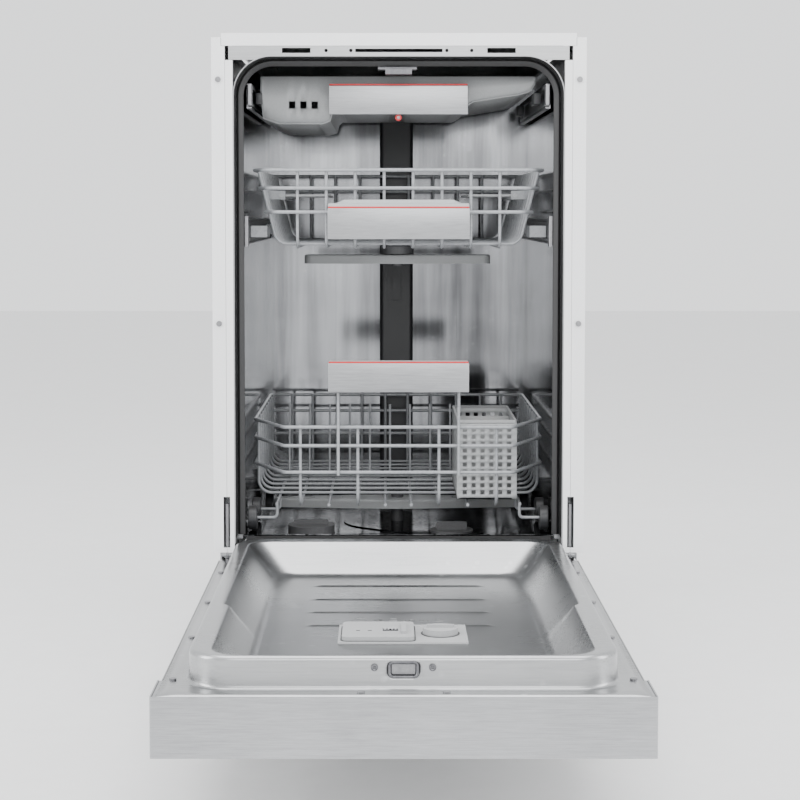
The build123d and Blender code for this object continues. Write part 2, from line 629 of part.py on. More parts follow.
def door_fascia():
    """Steel end cap of the door with the pocket handle and the cut-outs of the controls."""
    t = FASCIA_T
    y1 = DOOR_END + FASCIA_L
    shell = block(-HALF, HALF, DOOR_END, y1, OUTER_Z, INNER_Z)
    shell = fillet(shell.edges().filter_by(Axis.Z).sort_by(Axis.Y)[:2], 2)
    shell -= block(-HALF + t, HALF - t, DOOR_END + t, y1 + 1, OUTER_Z + t, INNER_Z + 1)
    mid = DOOR_END + FASCIA_L / 2
    half_l = POCKET_L / 2
    half_w = POCKET_W / 2
    cup_l = half_l + t
    cup_w = half_w + t
    shell += block(-cup_l, cup_l, mid - cup_w, mid + cup_w, OUTER_Z, OUTER_Z + POCKET_D + t)
    shell -= block(-half_l, half_l, mid - half_w, mid + half_w, OUTER_Z - 1, OUTER_Z + POCKET_D)
    shell -= block(DISPLAY_X - 26, DISPLAY_X + 26, mid - 9, mid + 9, OUTER_Z - 1, OUTER_Z + t + 1)
    return shell - upright(BUTTON_X, mid, OUTER_Z - 1, OUTER_Z + t + 1, BUTTON_R + 0.4)


def display_window():
    """Display glass with its board behind it."""
    mid = DOOR_END + FASCIA_L / 2
    x = DISPLAY_X
    board_z = OUTER_Z + FASCIA_T + 0.3
    glass = block(x - 25.6, x + 25.6, mid - 8.6, mid + 8.6, OUTER_Z + 0.2, OUTER_Z + FASCIA_T + 1)
    return glass + block(x - 30, x + 30, mid - 14, mid + 14, board_z, OUTER_Z + 14)


def button():
    """Round push button with a collar behind the fascia."""
    x = BUTTON_X
    mid = DOOR_END + FASCIA_L / 2
    cap = upright(x, mid, OUTER_Z - BUTTON_TRAVEL - 0.5, OUTER_Z + 5, BUTTON_R)
    return cap + upright(x, mid, OUTER_Z + FASCIA_T + 0.3, OUTER_Z + 5, BUTTON_R + 2)


def hinge_lever():
    """Right lever: arm inside the door, neck to the pin, and the tail that pulls the spring's cable."""
    x0 = HINGE_X - LEVER_T / 2
    x1 = HINGE_X + LEVER_T / 2
    lever = across(x0, x1, HINGE_Y, HINGE_Z, 6.4)
    lever += block(x0, x1, HINGE_Y - 3, HINGE_Y + 5.5, HINGE_Z - 50, HINGE_Z)
    lever += block(x0, x1, HINGE_Y - 150, HINGE_Y + 5.5, HINGE_Z - 50, HINGE_Z - 28)
    lever += block(x0, x1, HINGE_Y - 3, HINGE_Y + 3, HINGE_Z, HINGE_Z + 62)
    return lever - across(x0 - 1, x1 + 1, HINGE_Y, HINGE_Z, PIN_R + RUN)


def door_lock():
    """Lock body inside the door's top, with its catch behind the latch opening."""
    y = RIM_FAR + LINER_T + 0.6
    lock_z0 = OUTER_Z + POCKET_D + FASCIA_T + FIT
    lock = block(-34, 34, y + 1, y + 14, lock_z0, LINER_FLOOR - 8)
    lock += block(-LATCH_HALF + 1, LATCH_HALF - 1, y + 1, y + 3, LINER_FLOOR - 8, INNER_Z + LATCH_Z[1] - 2)
    return lock


def door_screws():
    """Identical screws beside the latch opening and along the liner's flanges."""
    places = [(x, DOOR_END + 14, INNER_Z) for x in both_sides(38)]
    places += [(x, y, INNER_Z) for x in both_sides(BODY_HALF - 10) for y in spread(DOOR_END + 60, -60, 165)]
    return [upright(x, y, z + 0.2, z + 1.8, 3.4) for x, y, z in places]


def dispenser_housing():
    """Detergent dispenser: flange, cup under the sliding lid and rinse aid well."""
    z = LINER_FLOOR + 0.3
    body = block(DISP_X0, DISP_X1, DISP_Y0, DISP_Y1, z, z + 2)
    body += block(DISP_X0 + 4, DISP_X1 - 4, DISP_Y0 + 4, DISP_Y1 - 4, z - DISP_DEPTH, z)
    body -= block(*CUP_X, DISP_Y0 + 10, DISP_Y1 - 10, z - DISP_DEPTH + 4, z + 3)
    x, y = RINSE
    body += upright(x, y, z + 2, z + 5, RINSE_R - 5)
    return body - upright(x, y, z - 20, z + 6, RINSE_R - 8)


def dispenser_lid():
    """Sliding lid over the detergent cup, with a thumb ridge."""
    z = LINER_FLOOR + 2.7
    lid = block(CUP_X[0] - 6, CUP_X[1] + 5, DISP_Y0 + 5, DISP_Y1 - 5, z, z + 4)
    lid = fillet(lid.edges().filter_by(Axis.Z), 6)
    return lid + block(CUP_X[1] - 8, CUP_X[1] - 3, DISP_Y0 + 18, DISP_Y1 - 18, z + 4, z + 7)


def rinse_cap():
    """Turning cap of the rinse aid well."""
    z = LINER_FLOOR + 2.7
    x, y = RINSE
    cap = upright(x, y, z, z + 6, RINSE_R) - upright(x, y, z - 1, z + 3.4, RINSE_R - 5 + RUN)
    return cap + block(x - 14, x + 14, y - 2, y + 2, z + 6, z + 9)


# Racks

def rail_loop(half, nose, y0, nose_l, y1, z, radius):
    """A rectangular rail with a narrower front, in straight runs and bends that meet face to face."""
    front = half - nose
    cut = 26.0
    pieces = [across(-front + cut, front - cut, y0, z, radius)]
    pieces += [across(-half + cut, half - cut, y1, z, radius)]
    nose_y = y0 + nose_l
    corner = bent_wire([(front - cut, y0, z), (front, y0, z), (half, nose_y, z), (half, nose_y + cut, z)],
                       radius, 9)
    rear = bent_wire([(half, y1 - cut, z), (half, y1, z), (half - cut, y1, z)], radius, 12)
    side = along(half, y0 + nose_l + cut, y1 - cut, z, radius)
    for piece in (corner, rear, side):
        pieces += both(piece)
    return pieces


def cross_wire(y, floor_z, low_half, top_half, top_z, radius):
    """A U-shaped wire across a basket: floor run and two rising ends."""
    cut = WIRE_BEND + 8
    run = low_half - cut
    rise = bent_wire([(run, y, floor_z), (low_half, y, floor_z), (top_half, y, top_z)], radius, WIRE_BEND)
    return [across(-run, run, y, floor_z, radius), *both(rise)]


def long_wire(x, y0, y1, floor_z, front_z, rear_z, radius):
    """A wire along a basket's floor that rises at the rear, and at the front where front_z is given."""
    cut = WIRE_BEND + 8
    start = y0
    pieces = []
    if front_z:
        start = y0 + cut
        pieces.append(bent_wire([(x, y0, front_z), (x, y0, floor_z), (x, start, floor_z)], radius, WIRE_BEND))
    pieces.append(along(x, start, y1 - cut, floor_z, radius))
    pieces.append(bent_wire([(x, y1 - cut, floor_z), (x, y1, floor_z), (x, y1, rear_z)], radius, WIRE_BEND))
    return pieces


def lower_basket():
    """Welded lower basket: three rails, cross wires, long wires, handle posts and roller stubs."""
    pieces = []
    for z in LOWER_RAILS:
        pieces += rail_loop(LOWER_HALF, LOWER_NOSE, LOWER_FRONT, LOWER_NOSE_L, RACK_BACK, z, RAIL_R)
    bite = RAIL_R + WIRE_R - WELD
    top = LOWER_RAILS[-1] + 2
    first = LOWER_FRONT + LOWER_NOSE_L + 2
    for y in spread(first, RACK_BACK - 18, WIRE_PITCH):
        pieces += cross_wire(y, LOWER_FLOOR, LOWER_HALF - bite, LOWER_HALF - bite, top, WIRE_R)
    low = LOWER_FLOOR - 2 * WIRE_R + WELD
    for x in both_sides(50):
        pieces += long_wire(x, LOWER_FRONT + bite, RACK_BACK - bite, low, top, top, WIRE_R)
    for x in both_sides(121):
        pieces += long_wire(x, LOWER_FRONT + bite, RACK_BACK - bite, low, top, top, WIRE_R)
    for x in (*both_sides(16), *both_sides(86)):
        pieces += long_wire(x, LOWER_FRONT + 12, RACK_BACK - bite, low, None, top, WIRE_R)
    stub_x = LOWER_HALF - 31
    for x in both_sides(stub_x):
        pieces += long_wire(x, LOWER_FRONT + 20, RACK_BACK - bite, low, None, top, WIRE_R)
    for x in both_sides(HANDLE_L / 2 - 12):
        pieces.append(upright(x, LOWER_FRONT - bite, LOWER_RAILS[0] - 3, LOWER_HANDLE_Z + 14, WIRE_R))
    for offset in ROLLER_FROM_FRONT:
        y = LOWER_FRONT + offset
        stub_top = low - 2 * WIRE_R + WELD + STUB_R
        stub = bent_wire([(stub_x, y, stub_top), (stub_x, y, ROLLER_Z), (ROLLER_OUT + 1, y, ROLLER_Z)],
                         STUB_R, 5)
        pieces += both(stub)
    return pieces


def rollers(offset):
    """A pair of rollers on one axis."""
    y = LOWER_FRONT + offset
    x0 = ROLLER_OUT - ROLLER_W
    wheel = across(x0, ROLLER_OUT, y, ROLLER_Z, ROLLER_R)
    wheel = fillet(wheel.edges().filter_by(GeomType.CIRCLE), 1.5)
    wheel -= across(x0 - 1, ROLLER_OUT + 1, y, ROLLER_Z, STUB_R + RUN)
    wheel -= across(ROLLER_OUT - 2, ROLLER_OUT + 1, y, ROLLER_Z, ROLLER_R - 5)
    return both(wheel)


def bar_handle(y0, z0, rise, depth):
    """Grip of a rack: front plate, sloping top and end cheeks, open behind."""
    half = HANDLE_L / 2
    t = HANDLE_T
    z1 = z0 + HANDLE_H
    grip = block(-half, half, y0, y0 + depth, z0, z1 + rise)
    y1 = y0 + depth + 1
    above = z1 + rise + 9
    slope = Plane.YZ * Polygon((y0 - 1, z1), (y1, z1 + rise * 1.05), (y1, above), (y0 - 1, above), align=None)
    if rise:
        grip -= extrude(slope, half + 1, both=True)
    grip = fillet(grip.edges().filter_by(Axis.X).sort_by(Axis.Y)[:1], 2)
    return grip - block(-half + t, half - t, y0 + t, y1, z0 - 1, z1 - t)


def upper_handle_notch():
    """Groove of the upper handle that clips over the basket's lowest front rail."""
    return across(-HANDLE_L, HANDLE_L, UPPER_FRONT, UPPER_FLOOR + UPPER_RAIL_STEPS[0], RAIL_R + 0.3)


def lower_tines():
    """Folding row of tines on one rod, leaning back a little."""
    y = TINE_Y
    z = TINE_Z
    pieces = [across(-HALF_ROD, HALF_ROD - CUTLERY_W, y, z, WIRE_R)]
    for x in spread(-HALF_ROD + 12, HALF_ROD - CUTLERY_W - 12, 27):
        top = Vector(x, y + TINE_H * 0.22, z + TINE_H)
        foot_at = Vector(x, y, z + WIRE_R + 1.6 - WELD)
        axis = top - foot_at
        pieces.append(extrude(Plane(origin=foot_at, z_dir=axis) * Circle(1.6), axis.length))
    return pieces


def cutlery_basket():
    """Cutlery basket of five moulded panels, two dividers and a raised rim, the end panels perforated."""
    x0 = CUTLERY_X - CUTLERY_W / 2
    x1 = CUTLERY_X + CUTLERY_W / 2
    y0 = LOWER_FRONT + 19
    y1 = y0 + CUTLERY_L
    z0 = LOWER_FLOOR + WIRE_R + 0.6
    z1 = z0 + CUTLERY_H
    t = CUTLERY_T
    holes_y = []
    for z in spread(z0 + 10, z1 - 14, CUTLERY_HOLE_PITCH):
        for x in spread(x0 + 9, x1 - 9, CUTLERY_HOLE_PITCH):
            holes_y.append(block(x - 2.6, x + 2.6, y0 - 1, y0 + t + 1, z - 2.6, z + 2.6))
    front = block(x0, x1, y0, y0 + t, z0, z1) - holes_y
    rear = Pos(0, CUTLERY_L - t, 0) * front
    floor = block(x0 + t, x1 - t, y0 + t, y1 - t, z0, z0 + t)
    slots = [block(x0 + 8, x1 - 8, y - 3, y + 3, z0 - 1, z0 + t + 1) for y in spread(y0 + 14, y1 - 14, 14)]
    floor -= slots
    sides = [block(x, x + t, y0 + t, y1 - t, z0, z1) for x in (x0, x1 - t)]
    dividers = [block(x0 + t, x1 - t, y - t / 2, y + t / 2, z0 + t, z1 - 8) for y in CUTLERY_CELLS[1:-1]]
    return [front, rear, floor, *sides, *dividers]


def upper_basket():
    """Welded upper basket: three rails that flare upwards, cross and long wires, and runners on the rails."""
    pieces = []
    bite = RAIL_R + WIRE_R - WELD
    low_half = UPPER_LOW_HALF
    top_half = UPPER_HALF
    z_top = UPPER_FLOOR + UPPER_RAIL_STEPS[-1]
    for step in UPPER_RAIL_STEPS:
        half = low_half + (top_half - low_half) * step / UPPER_RAIL_STEPS[-1]
        z = UPPER_FLOOR + step
        pieces += rail_loop(half + 0.3, UPPER_NOSE, UPPER_FRONT, 24, RACK_BACK, z, RAIL_R)
    for y in spread(UPPER_FRONT + 32, RACK_BACK - 18, WIRE_PITCH):
        pieces += cross_wire(y, UPPER_FLOOR, low_half - bite, top_half - bite, z_top, WIRE_R)
    low = UPPER_FLOOR - 2 * WIRE_R + WELD
    for x in spread(-low_half + 30, low_half - 30, 34):
        pieces += long_wire(x, UPPER_FRONT + bite, RACK_BACK - bite, low, z_top + 2, z_top + 2, WIRE_R)
    z0 = UPPER_SLIDE_Z - 7
    x1 = FIXED_OUT - 1.8 - MIDDLE_W - 0.6
    inner = low_half + (top_half - low_half) * (z0 + 14 - UPPER_FLOOR) / UPPER_RAIL_STEPS[-1] + 3.4
    for y in (RAIL_FRONT + 20, RACK_BACK - 80):
        pieces += both(block(inner, x1, y, y + 50, z0, z0 + 14))
    for lug in cup_lugs():
        pieces += both(lug)
    return pieces


def upper_feed_pipe():
    """Flat pipe under the upper basket from the docking port to the spray arm's hub."""
    z1 = UPPER_FLOOR - 3 * WIRE_R - 0.8
    z0 = z1 - 10
    pipe = block(-15, 15, ARM_Y, TUB_BACK - 21, z0, z1)
    pipe = fillet(pipe.edges().filter_by(Axis.Y), 4)
    pipe += upright(0, ARM_Y, z0, z1, 22)
    return pipe + upright(0, ARM_Y, z0 - ARM_H - 4, z0, UPPER_POST_R)


def spray_arm(z0, reach, post_r):
    """Two-armed spray arm with nozzle slots, on a round hub."""
    hub = Pos(0, ARM_Y) * Circle(26)
    tips = [Pos(x, ARM_Y) * Circle(11) for x in both_sides(reach - 11)]
    outline = make_hull([*hub.edges(), *tips[0].edges(), *tips[1].edges()])
    arm = Pos(0, 0, z0) * extrude(outline, ARM_H)
    arm = fillet(arm.edges().group_by(Axis.Z)[-1], 3)
    for x in (*both_sides(reach * 0.45), *both_sides(reach * 0.68), *both_sides(reach * 0.88)):
        arm -= block(x - 1.2, x + 1.2, ARM_Y - 5, ARM_Y + 5, z0 + ARM_H - 3, z0 + ARM_H + 1)
    return arm - upright(0, ARM_Y, z0 - 1, z0 + ARM_H + 1, post_r + RUN)


def cup_shelf():
    """Light plastic shelf along the right side of the upper basket, with its pivot rod."""
    x1 = CUP_PIVOT_X
    y0, y1 = CUP_Y
    shelf = block(x1 - 58, x1 - 2, y0, y1, CUP_Z - 1.2, CUP_Z + 1.2)
    for y in spread(y0 + 40, y1 - 40, 80):
        shelf -= upright(x1 - 30, y, CUP_Z - 3, CUP_Z + 3, 17)
    return shelf + along(x1, y0 - 8, y1 + 8, CUP_Z, CUP_ROD_R)


def cup_lugs():
    """Right-hand lugs of the upper basket that hold the cup shelf's rod."""
    y0, y1 = CUP_Y
    x = CUP_PIVOT_X
    bore = along(x, y0 - 9, y1 + 9, CUP_Z, CUP_ROD_R + RUN)
    return [block(x - 5, x + 19, y, y + 5, CUP_Z - 5, CUP_Z + 5.6) - bore for y in (y0 - 7, y1 + 2)]


def cutlery_tray():
    """Drawer tray of slotted panels: a deep left wing, a level middle, a shallow right wing, and runners."""
    t = DRAWER_T
    y0 = DRAWER_FRONT
    y1 = RACK_BACK
    half = TUB_HALF - 20.0
    top = TUB_TOP - 10.0
    low = top - 22
    panels = []
    for x0, x1, floor_z in ((-half, -WING_X, WING_FLOORS[0]), (-WING_X, WING_X, WING_FLOORS[1]),
                            (WING_X, half, WING_FLOORS[2])):
        floor = block(x0, x1, y0, y1, floor_z, floor_z + t)
        floor -= [block(x0 + 10, x1 - 10, y - 5, y + 5, floor_z - 1, floor_z + t + 1)
                  for y in spread(y0 + 22, y1 - 22, 24)]
        end = block(x0, x1, y0, y0 + t, floor_z + t, low if x0 == -WING_X else top)
        panels += [floor, end, Pos(0, y1 - y0 - t, 0) * end]
    for x in spread(-half + 42, -half + 70, 14):
        panels[1] -= block(x, x + 8, y0 - 1, y0 + t + 1, top - 34, top - 26)
    panels.append(block(-half, -half + t, y0 + t, y1 - t, WING_FLOORS[0] + t, top))
    panels.append(block(half - t, half, y0 + t, y1 - t, WING_FLOORS[2] + t, top))
    panels.append(block(-WING_X - t, -WING_X, y0 + t, y1 - t, WING_FLOORS[0] + t, low))
    panels.append(block(WING_X, WING_X + t, y0 + t, y1 - t, WING_FLOORS[2] + t, low))
    panels.append(block(WING_X - t, WING_X, y0 + t, y1 - t, WING_FLOORS[1] + t, WING_FLOORS[2] + t))
    x_in = FIXED_OUT - DRAWER_RAIL_IN - 1.8 - MIDDLE_W - 0.6
    for y in (RAIL_FRONT + 45, RACK_BACK - 80):
        panels += both(block(half, x_in, y, y + 50, DRAWER_SLIDE_Z - 6, DRAWER_SLIDE_Z + 6))
    return panels


def moved_solids(shape):
    """The solids of a shape, or of a list of shapes, in the stored frame."""
    shapes = shape if isinstance(shape, (list, tuple)) else [shape]
    return [Pos(0, -Y_CENTRE, 0) * solid for item in shapes for solid in item.solids()]


def sub_parts():
    """Every node of the dishwasher by name."""
    nodes = {
        "side_panel_left": mirror(side_panel(), about=Plane.YZ),
        "side_panel_right": side_panel(),
        "frame_strips": both(frame_strip()),
        "top_cover": top_cover(),
        "rear_panel": rear_panel(),
        "front_frame": front_frame(),
        "tub_wrap": tub_wrap(),
        "tub_back": tub_back(),
        "tub_floor": tub_floor(),
        "door_gaskets": gaskets(),
        "base_tray": base_tray(),
        "kick_plate": kick_plate(),
        "counterweight": counterweight(),
        "sump": sump(),
        "filter_plate": filter_plate(),
        "filter_cylinder": filter_cylinder(),
        "circulation_pump": circulation_pump(),
        "drain_pump": drain_pump(),
        "salt_container": salt_container(),
        "salt_cap": salt_cap(),
        "inlet_valve": inlet_valve(),
        "power_inlet": power_inlet(),
        "water_duct": water_duct(),
        "hinge_brackets": both(hinge_bracket()) + both(cable_guide()),
        "door_springs": both(door_spring()),
        "fixed_rails": both(fixed_rail(UPPER_SLIDE_Z, FIXED_OUT))
        + both(fixed_rail(DRAWER_SLIDE_Z, FIXED_OUT - DRAWER_RAIL_IN)),
        "strike_hook": strike_hook(),
        "cabinet_screws": cabinet_screws(),
        "door_liner": door_liner(),
        "door_skin": door_skin(),
        "door_fascia": door_fascia(),
        "hinge_levers": both(hinge_lever()),
        "door_lock": door_lock(),
        "door_screws": door_screws(),
        "display_window": display_window(),
        "dispenser_housing": dispenser_housing(),
        "dispenser_lid": dispenser_lid(),
        "rinse_cap": rinse_cap(),
        "power_button": button(),
        "lower_basket": lower_basket(),
        "lower_handle": bar_handle(LOWER_FRONT - 2 * (RAIL_R + WIRE_R) - 10, LOWER_HANDLE_Z, 0, 20),
        "lower_tines": lower_tines(),
        "cutlery_basket": cutlery_basket(),
        "lower_spray_arm": spray_arm(LEDGE_Z + ARM_GAP, ARM_R_LOWER, LOWER_POST_R),
        "upper_basket": upper_basket(),
        "upper_handle": bar_handle(UPPER_FRONT - 15, UPPER_HANDLE_Z, 6, 16) - upper_handle_notch(),
        "upper_feed_pipe": upper_feed_pipe(),
        "upper_spray_arm": spray_arm(UPPER_ARM_Z, ARM_R_UPPER, UPPER_POST_R),
        "upper_slide_rails": both(middle_rail(UPPER_SLIDE_Z, FIXED_OUT,
                                              UPPER_SLIDE_Z - 18, UPPER_SLIDE_Z + 19)),
        "cup_shelf_left": mirror(cup_shelf(), about=Plane.YZ),
        "cup_shelf_right": cup_shelf(),
        "cutlery_tray": cutlery_tray(),
        "drawer_handle": bar_handle(DRAWER_FRONT - 22, DRAWER_HANDLE_Z, 0, 20),
        "drawer_slide_rails": both(middle_rail(DRAWER_SLIDE_Z, FIXED_OUT - DRAWER_RAIL_IN,
                                               DRAWER_SLIDE_Z - 11, DRAWER_SLIDE_Z + 13)),
    }
    for name, (x, y) in zip(("foot_front_left", "foot_front_right", "foot_rear"), FEET):
        nodes[name] = foot(x, y)
    for place, offset in zip(("front", "middle", "rear"), ROLLER_FROM_FRONT):
        nodes[f"lower_rollers_{place}"] = rollers(offset)
    return nodes


def main():
    os.makedirs("parts", exist_ok=True)
    for name, shape in sub_parts().items():
        solids = moved_solids(shape)
        node = Compound(children=solids) if len(solids) > 1 else solids[0]
        node.label = name
        export_step(node, f"parts/{name}.step")


if __name__ == "__main__":
    main()
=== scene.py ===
"""Built-in dishwasher of the 45 cm class with its door open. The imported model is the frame; formed sheets, grips,
seals, baskets and finishes are made here. Sizes are millimetres with the cabinet's front plane at Y = 0, and every
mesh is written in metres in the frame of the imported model."""
import math

import bmesh
import bpy
import numpy as np
from mathutils import Euler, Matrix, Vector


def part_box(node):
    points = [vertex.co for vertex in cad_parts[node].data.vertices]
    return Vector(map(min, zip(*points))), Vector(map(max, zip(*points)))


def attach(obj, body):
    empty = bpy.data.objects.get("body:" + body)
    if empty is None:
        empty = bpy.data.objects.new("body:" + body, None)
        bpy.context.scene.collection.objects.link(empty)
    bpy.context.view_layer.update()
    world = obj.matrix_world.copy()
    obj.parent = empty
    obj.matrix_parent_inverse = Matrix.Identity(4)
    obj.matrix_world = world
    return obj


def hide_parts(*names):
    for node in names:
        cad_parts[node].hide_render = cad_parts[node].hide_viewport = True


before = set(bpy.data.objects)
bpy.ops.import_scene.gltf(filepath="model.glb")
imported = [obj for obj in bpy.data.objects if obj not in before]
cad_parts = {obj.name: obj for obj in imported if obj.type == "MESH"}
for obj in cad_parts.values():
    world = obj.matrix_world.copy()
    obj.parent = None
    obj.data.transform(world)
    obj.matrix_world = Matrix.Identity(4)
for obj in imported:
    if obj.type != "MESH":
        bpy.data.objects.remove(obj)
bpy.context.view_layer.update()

MM = 0.001
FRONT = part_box("side_panel_right")[0].y / MM


def edges(node):
    """Lowest and highest corner of a node, in millimetres from the cabinet's front plane."""
    return [np.array(corner) / MM - (0, FRONT, 0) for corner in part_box(node)]


# Meshes

def quads(rows, cols, close_rows=False, close_cols=False):
    """Corner numbers of the quads between neighbouring points of a grid, joined round where it closes."""
    i, j = np.meshgrid(np.arange(rows - (not close_rows)), np.arange(cols - (not close_cols)), indexing="ij")
    i, j = i.ravel(), j.ravel()
    i2, j2 = (i + 1) % rows, (j + 1) % cols
    return np.stack([i * cols + j, i * cols + j2, i2 * cols + j2, i2 * cols + j], 1)


def joined(parts):
    """One set of points and faces from several."""
    points, faces, count = [], [], 0
    for part_points, part_faces in parts:
        points.append(part_points)
        faces += [[k + count for k in face] for face in part_faces]
        count += len(part_points)
    return np.concatenate(points), faces


def add_piece(name, shape, material, body, replaces=(), closed=True, sharp=35, thickness=0):
    points, faces = shape
    mesh = bpy.data.meshes.new(name)
    mesh.from_pydata(((points + (0, FRONT, 0)) * MM).tolist(), [], [list(map(int, face)) for face in faces])
    work = bmesh.new()
    work.from_mesh(mesh)
    bmesh.ops.remove_doubles(work, verts=work.verts, dist=2e-6)
    bmesh.ops.dissolve_degenerate(work, edges=work.edges, dist=1e-6)
    if closed:
        bmesh.ops.recalc_face_normals(work, faces=work.faces)
    work.to_mesh(mesh)
    work.free()
    mesh.shade_smooth()
    mesh.set_sharp_from_angle(angle=math.radians(sharp))
    mesh.materials.append(material)
    made = bpy.data.objects.new(name, mesh)
    bpy.context.scene.collection.objects.link(made)
    if thickness:
        wall = made.modifiers.new("wall", "SOLIDIFY")
        wall.thickness = thickness * MM
        wall.offset = -1
    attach(made, body)
    if replaces:
        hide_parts(*replaces)
    return made


def closed_rings(points):
    """Points and faces of closed rings in rows, with one face on the first ring and one on the last."""
    rows, cols = points.shape[:2]
    faces = quads(rows, cols, False, True).tolist()
    faces += [list(range(cols))[::-1], list(range((rows - 1) * cols, rows * cols))]
    return points.reshape(-1, 3), faces


def carried(profile, path, right, up, close_profile=True, close_path=False):
    """A profile carried along a path: each point is the path's point plus its right times the profile's first
    value plus its up times the second. Open ends are closed with one face each."""
    sideways = right[:, None] * profile[None, :, :1]
    points = (path[:, None] + sideways + up[:, None] * profile[None, :, 1:]).reshape(-1, 3)
    rows, cols = len(path), len(profile)
    faces = quads(rows, cols, close_path, close_profile).tolist()
    if close_profile and not close_path:
        faces += [list(range(cols))[::-1], list(range((rows - 1) * cols, rows * cols))]
    return points, faces


def rounded_box(low, high, radius, steps=4):
    """A ball's surface pulled apart into a box: each point is its octant's corner centre plus the radius times the
    direction given by a longitude and a latitude that pause at every quarter turn."""
    low, high = np.array(low, float), np.array(high, float)
    quarter = np.linspace(0, math.pi / 2, steps + 1)
    lon = (quarter[None] + np.arange(4)[:, None] * math.pi / 2).ravel()
    lat = np.concatenate([quarter - math.pi / 2, quarter])
    sign_x = np.repeat([1, -1, -1, 1], steps + 1)
    sign_y = np.repeat([1, 1, -1, -1], steps + 1)
    sign_z = np.repeat([-1, 1], steps + 1)
    direction = np.stack([np.cos(lat)[:, None] * np.cos(lon), np.cos(lat)[:, None] * np.sin(lon),
                          np.repeat(np.sin(lat)[:, None], len(lon), 1)], -1)
    signs = np.stack(np.broadcast_arrays(sign_x[None], sign_y[None], sign_z[:, None]), -1)
    points = (low + high) / 2 + signs * ((high - low) / 2 - radius) + radius * direction
    rows, cols = points.shape[:2]
    corners = np.arange(4) * (steps + 1)
    faces = quads(rows, cols, False, True).tolist()
    faces += [corners[::-1].tolist(), (corners + (rows - 1) * cols).tolist()]
    return points.reshape(-1, 3), faces


def turned(profile, centre, axis="z", steps=48):
    """A profile of (radius, height) pairs turned once about an axis through the centre."""
    angle = np.linspace(0, 2 * math.pi, steps, endpoint=False)[:, None]
    radius, height = np.array(profile, float).T
    flat = np.stack(np.broadcast_arrays(radius * np.cos(angle), radius * np.sin(angle), height), -1)
    order = {"z": [0, 1, 2], "y": [0, 2, 1], "x": [2, 0, 1]}[axis]
    faces = quads(steps, len(profile), True, False).tolist()
    return flat[..., order].reshape(-1, 3) + np.array(centre, float), faces


def rounded_rectangle(half_x, half_y, radius, steps=5):
    """Points round a rectangle whose corners are quarter circles, counter-clockwise, with the outward directions."""
    angle = (np.linspace(0, math.pi / 2, steps + 1)[None] + np.arange(4)[:, None] * math.pi / 2).ravel()
    sign_x = np.repeat([1, -1, -1, 1], steps + 1)
    sign_y = np.repeat([1, 1, -1, -1], steps + 1)
    out = np.stack([np.cos(angle), np.sin(angle)], 1)
    return np.stack([sign_x * (half_x - radius), sign_y * (half_y - radius)], 1) + radius * out, out


# Shared effects of the finishes

class Net:
    """Nodes and links of one material or group."""

    def __init__(self, tree):
        self.tree = tree

    def add(self, kind, inputs=(), **settings):
        node = self.tree.nodes.new(kind)
        for key, value in settings.items():
            setattr(node, key, value)
        for key, value in dict(inputs).items():
            if isinstance(value, bpy.types.NodeSocket):
                self.tree.links.new(value, node.inputs[key])
            else:
                node.inputs[key].default_value = value
        return node

    def blend(self, amount, first, second):
        """Colour between two, by a mask."""
        mix = self.add("ShaderNodeMix", {0: amount, 6: first, 7: second}, data_type="RGBA")
        return mix.outputs[2]

    def between(self, amount, low, high):
        """Value between two, by a mask."""
        span = self.add("ShaderNodeMapRange", {"Value": amount, "To Min": low, "To Max": high})
        return span.outputs[0]


def new_group(name, inputs, outputs):
    """An empty shared effect with named inputs and outputs."""
    tree = bpy.data.node_groups.new(name, "ShaderNodeTree")
    for key, kind, value in inputs:
        socket = tree.interface.new_socket(key, in_out="INPUT", socket_type=kind)
        if value is not None:
            socket.default_value = value
    for key in outputs:
        tree.interface.new_socket(key, in_out="OUTPUT", socket_type="NodeSocketFloat")
    net = Net(tree)
    return tree, net, net.add("NodeGroupInput").outputs, net.add("NodeGroupOutput").inputs


WATER_MARK = (0.75, 0.76, 0.77, 1)
DUST_COLOUR = (0.42, 0.40, 0.37, 1)
MARK_ROUGHNESS = 0.3


def make_grain():
    """Lines or grain: noise on coordinates stretched by a vector, as a fine mask and a broad one. On the tub's steel
    the upright lines are painted reflections.
    """
    tree, net, given, out = new_group("grain", [
        ("Vector", "NodeSocketVector", None), ("Stretch", "NodeSocketVector", (1, 1, 1)),
        ("Scale", "NodeSocketFloat", 300.0)], ["Fine", "Broad"])
    stretched = net.add("ShaderNodeVectorMath", {0: given["Vector"], 1: given["Stretch"]}, operation="MULTIPLY")
    fine = net.add("ShaderNodeTexNoise", {"Vector": stretched.outputs[0], "Scale": given["Scale"], "Detail": 4.0,
                                          "Roughness": 0.65})
    broad = net.add("ShaderNodeTexNoise", {"Vector": given["Vector"], "Scale": 7.0, "Detail": 3.0})
    for source, key in ((fine, "Fine"), (broad, "Broad")):
        spread = net.add("ShaderNodeMapRange", {"Value": source.outputs[0], "From Min": 0.3, "From Max": 0.7})
        net.tree.links.new(spread.outputs[0], out[key])
    return tree


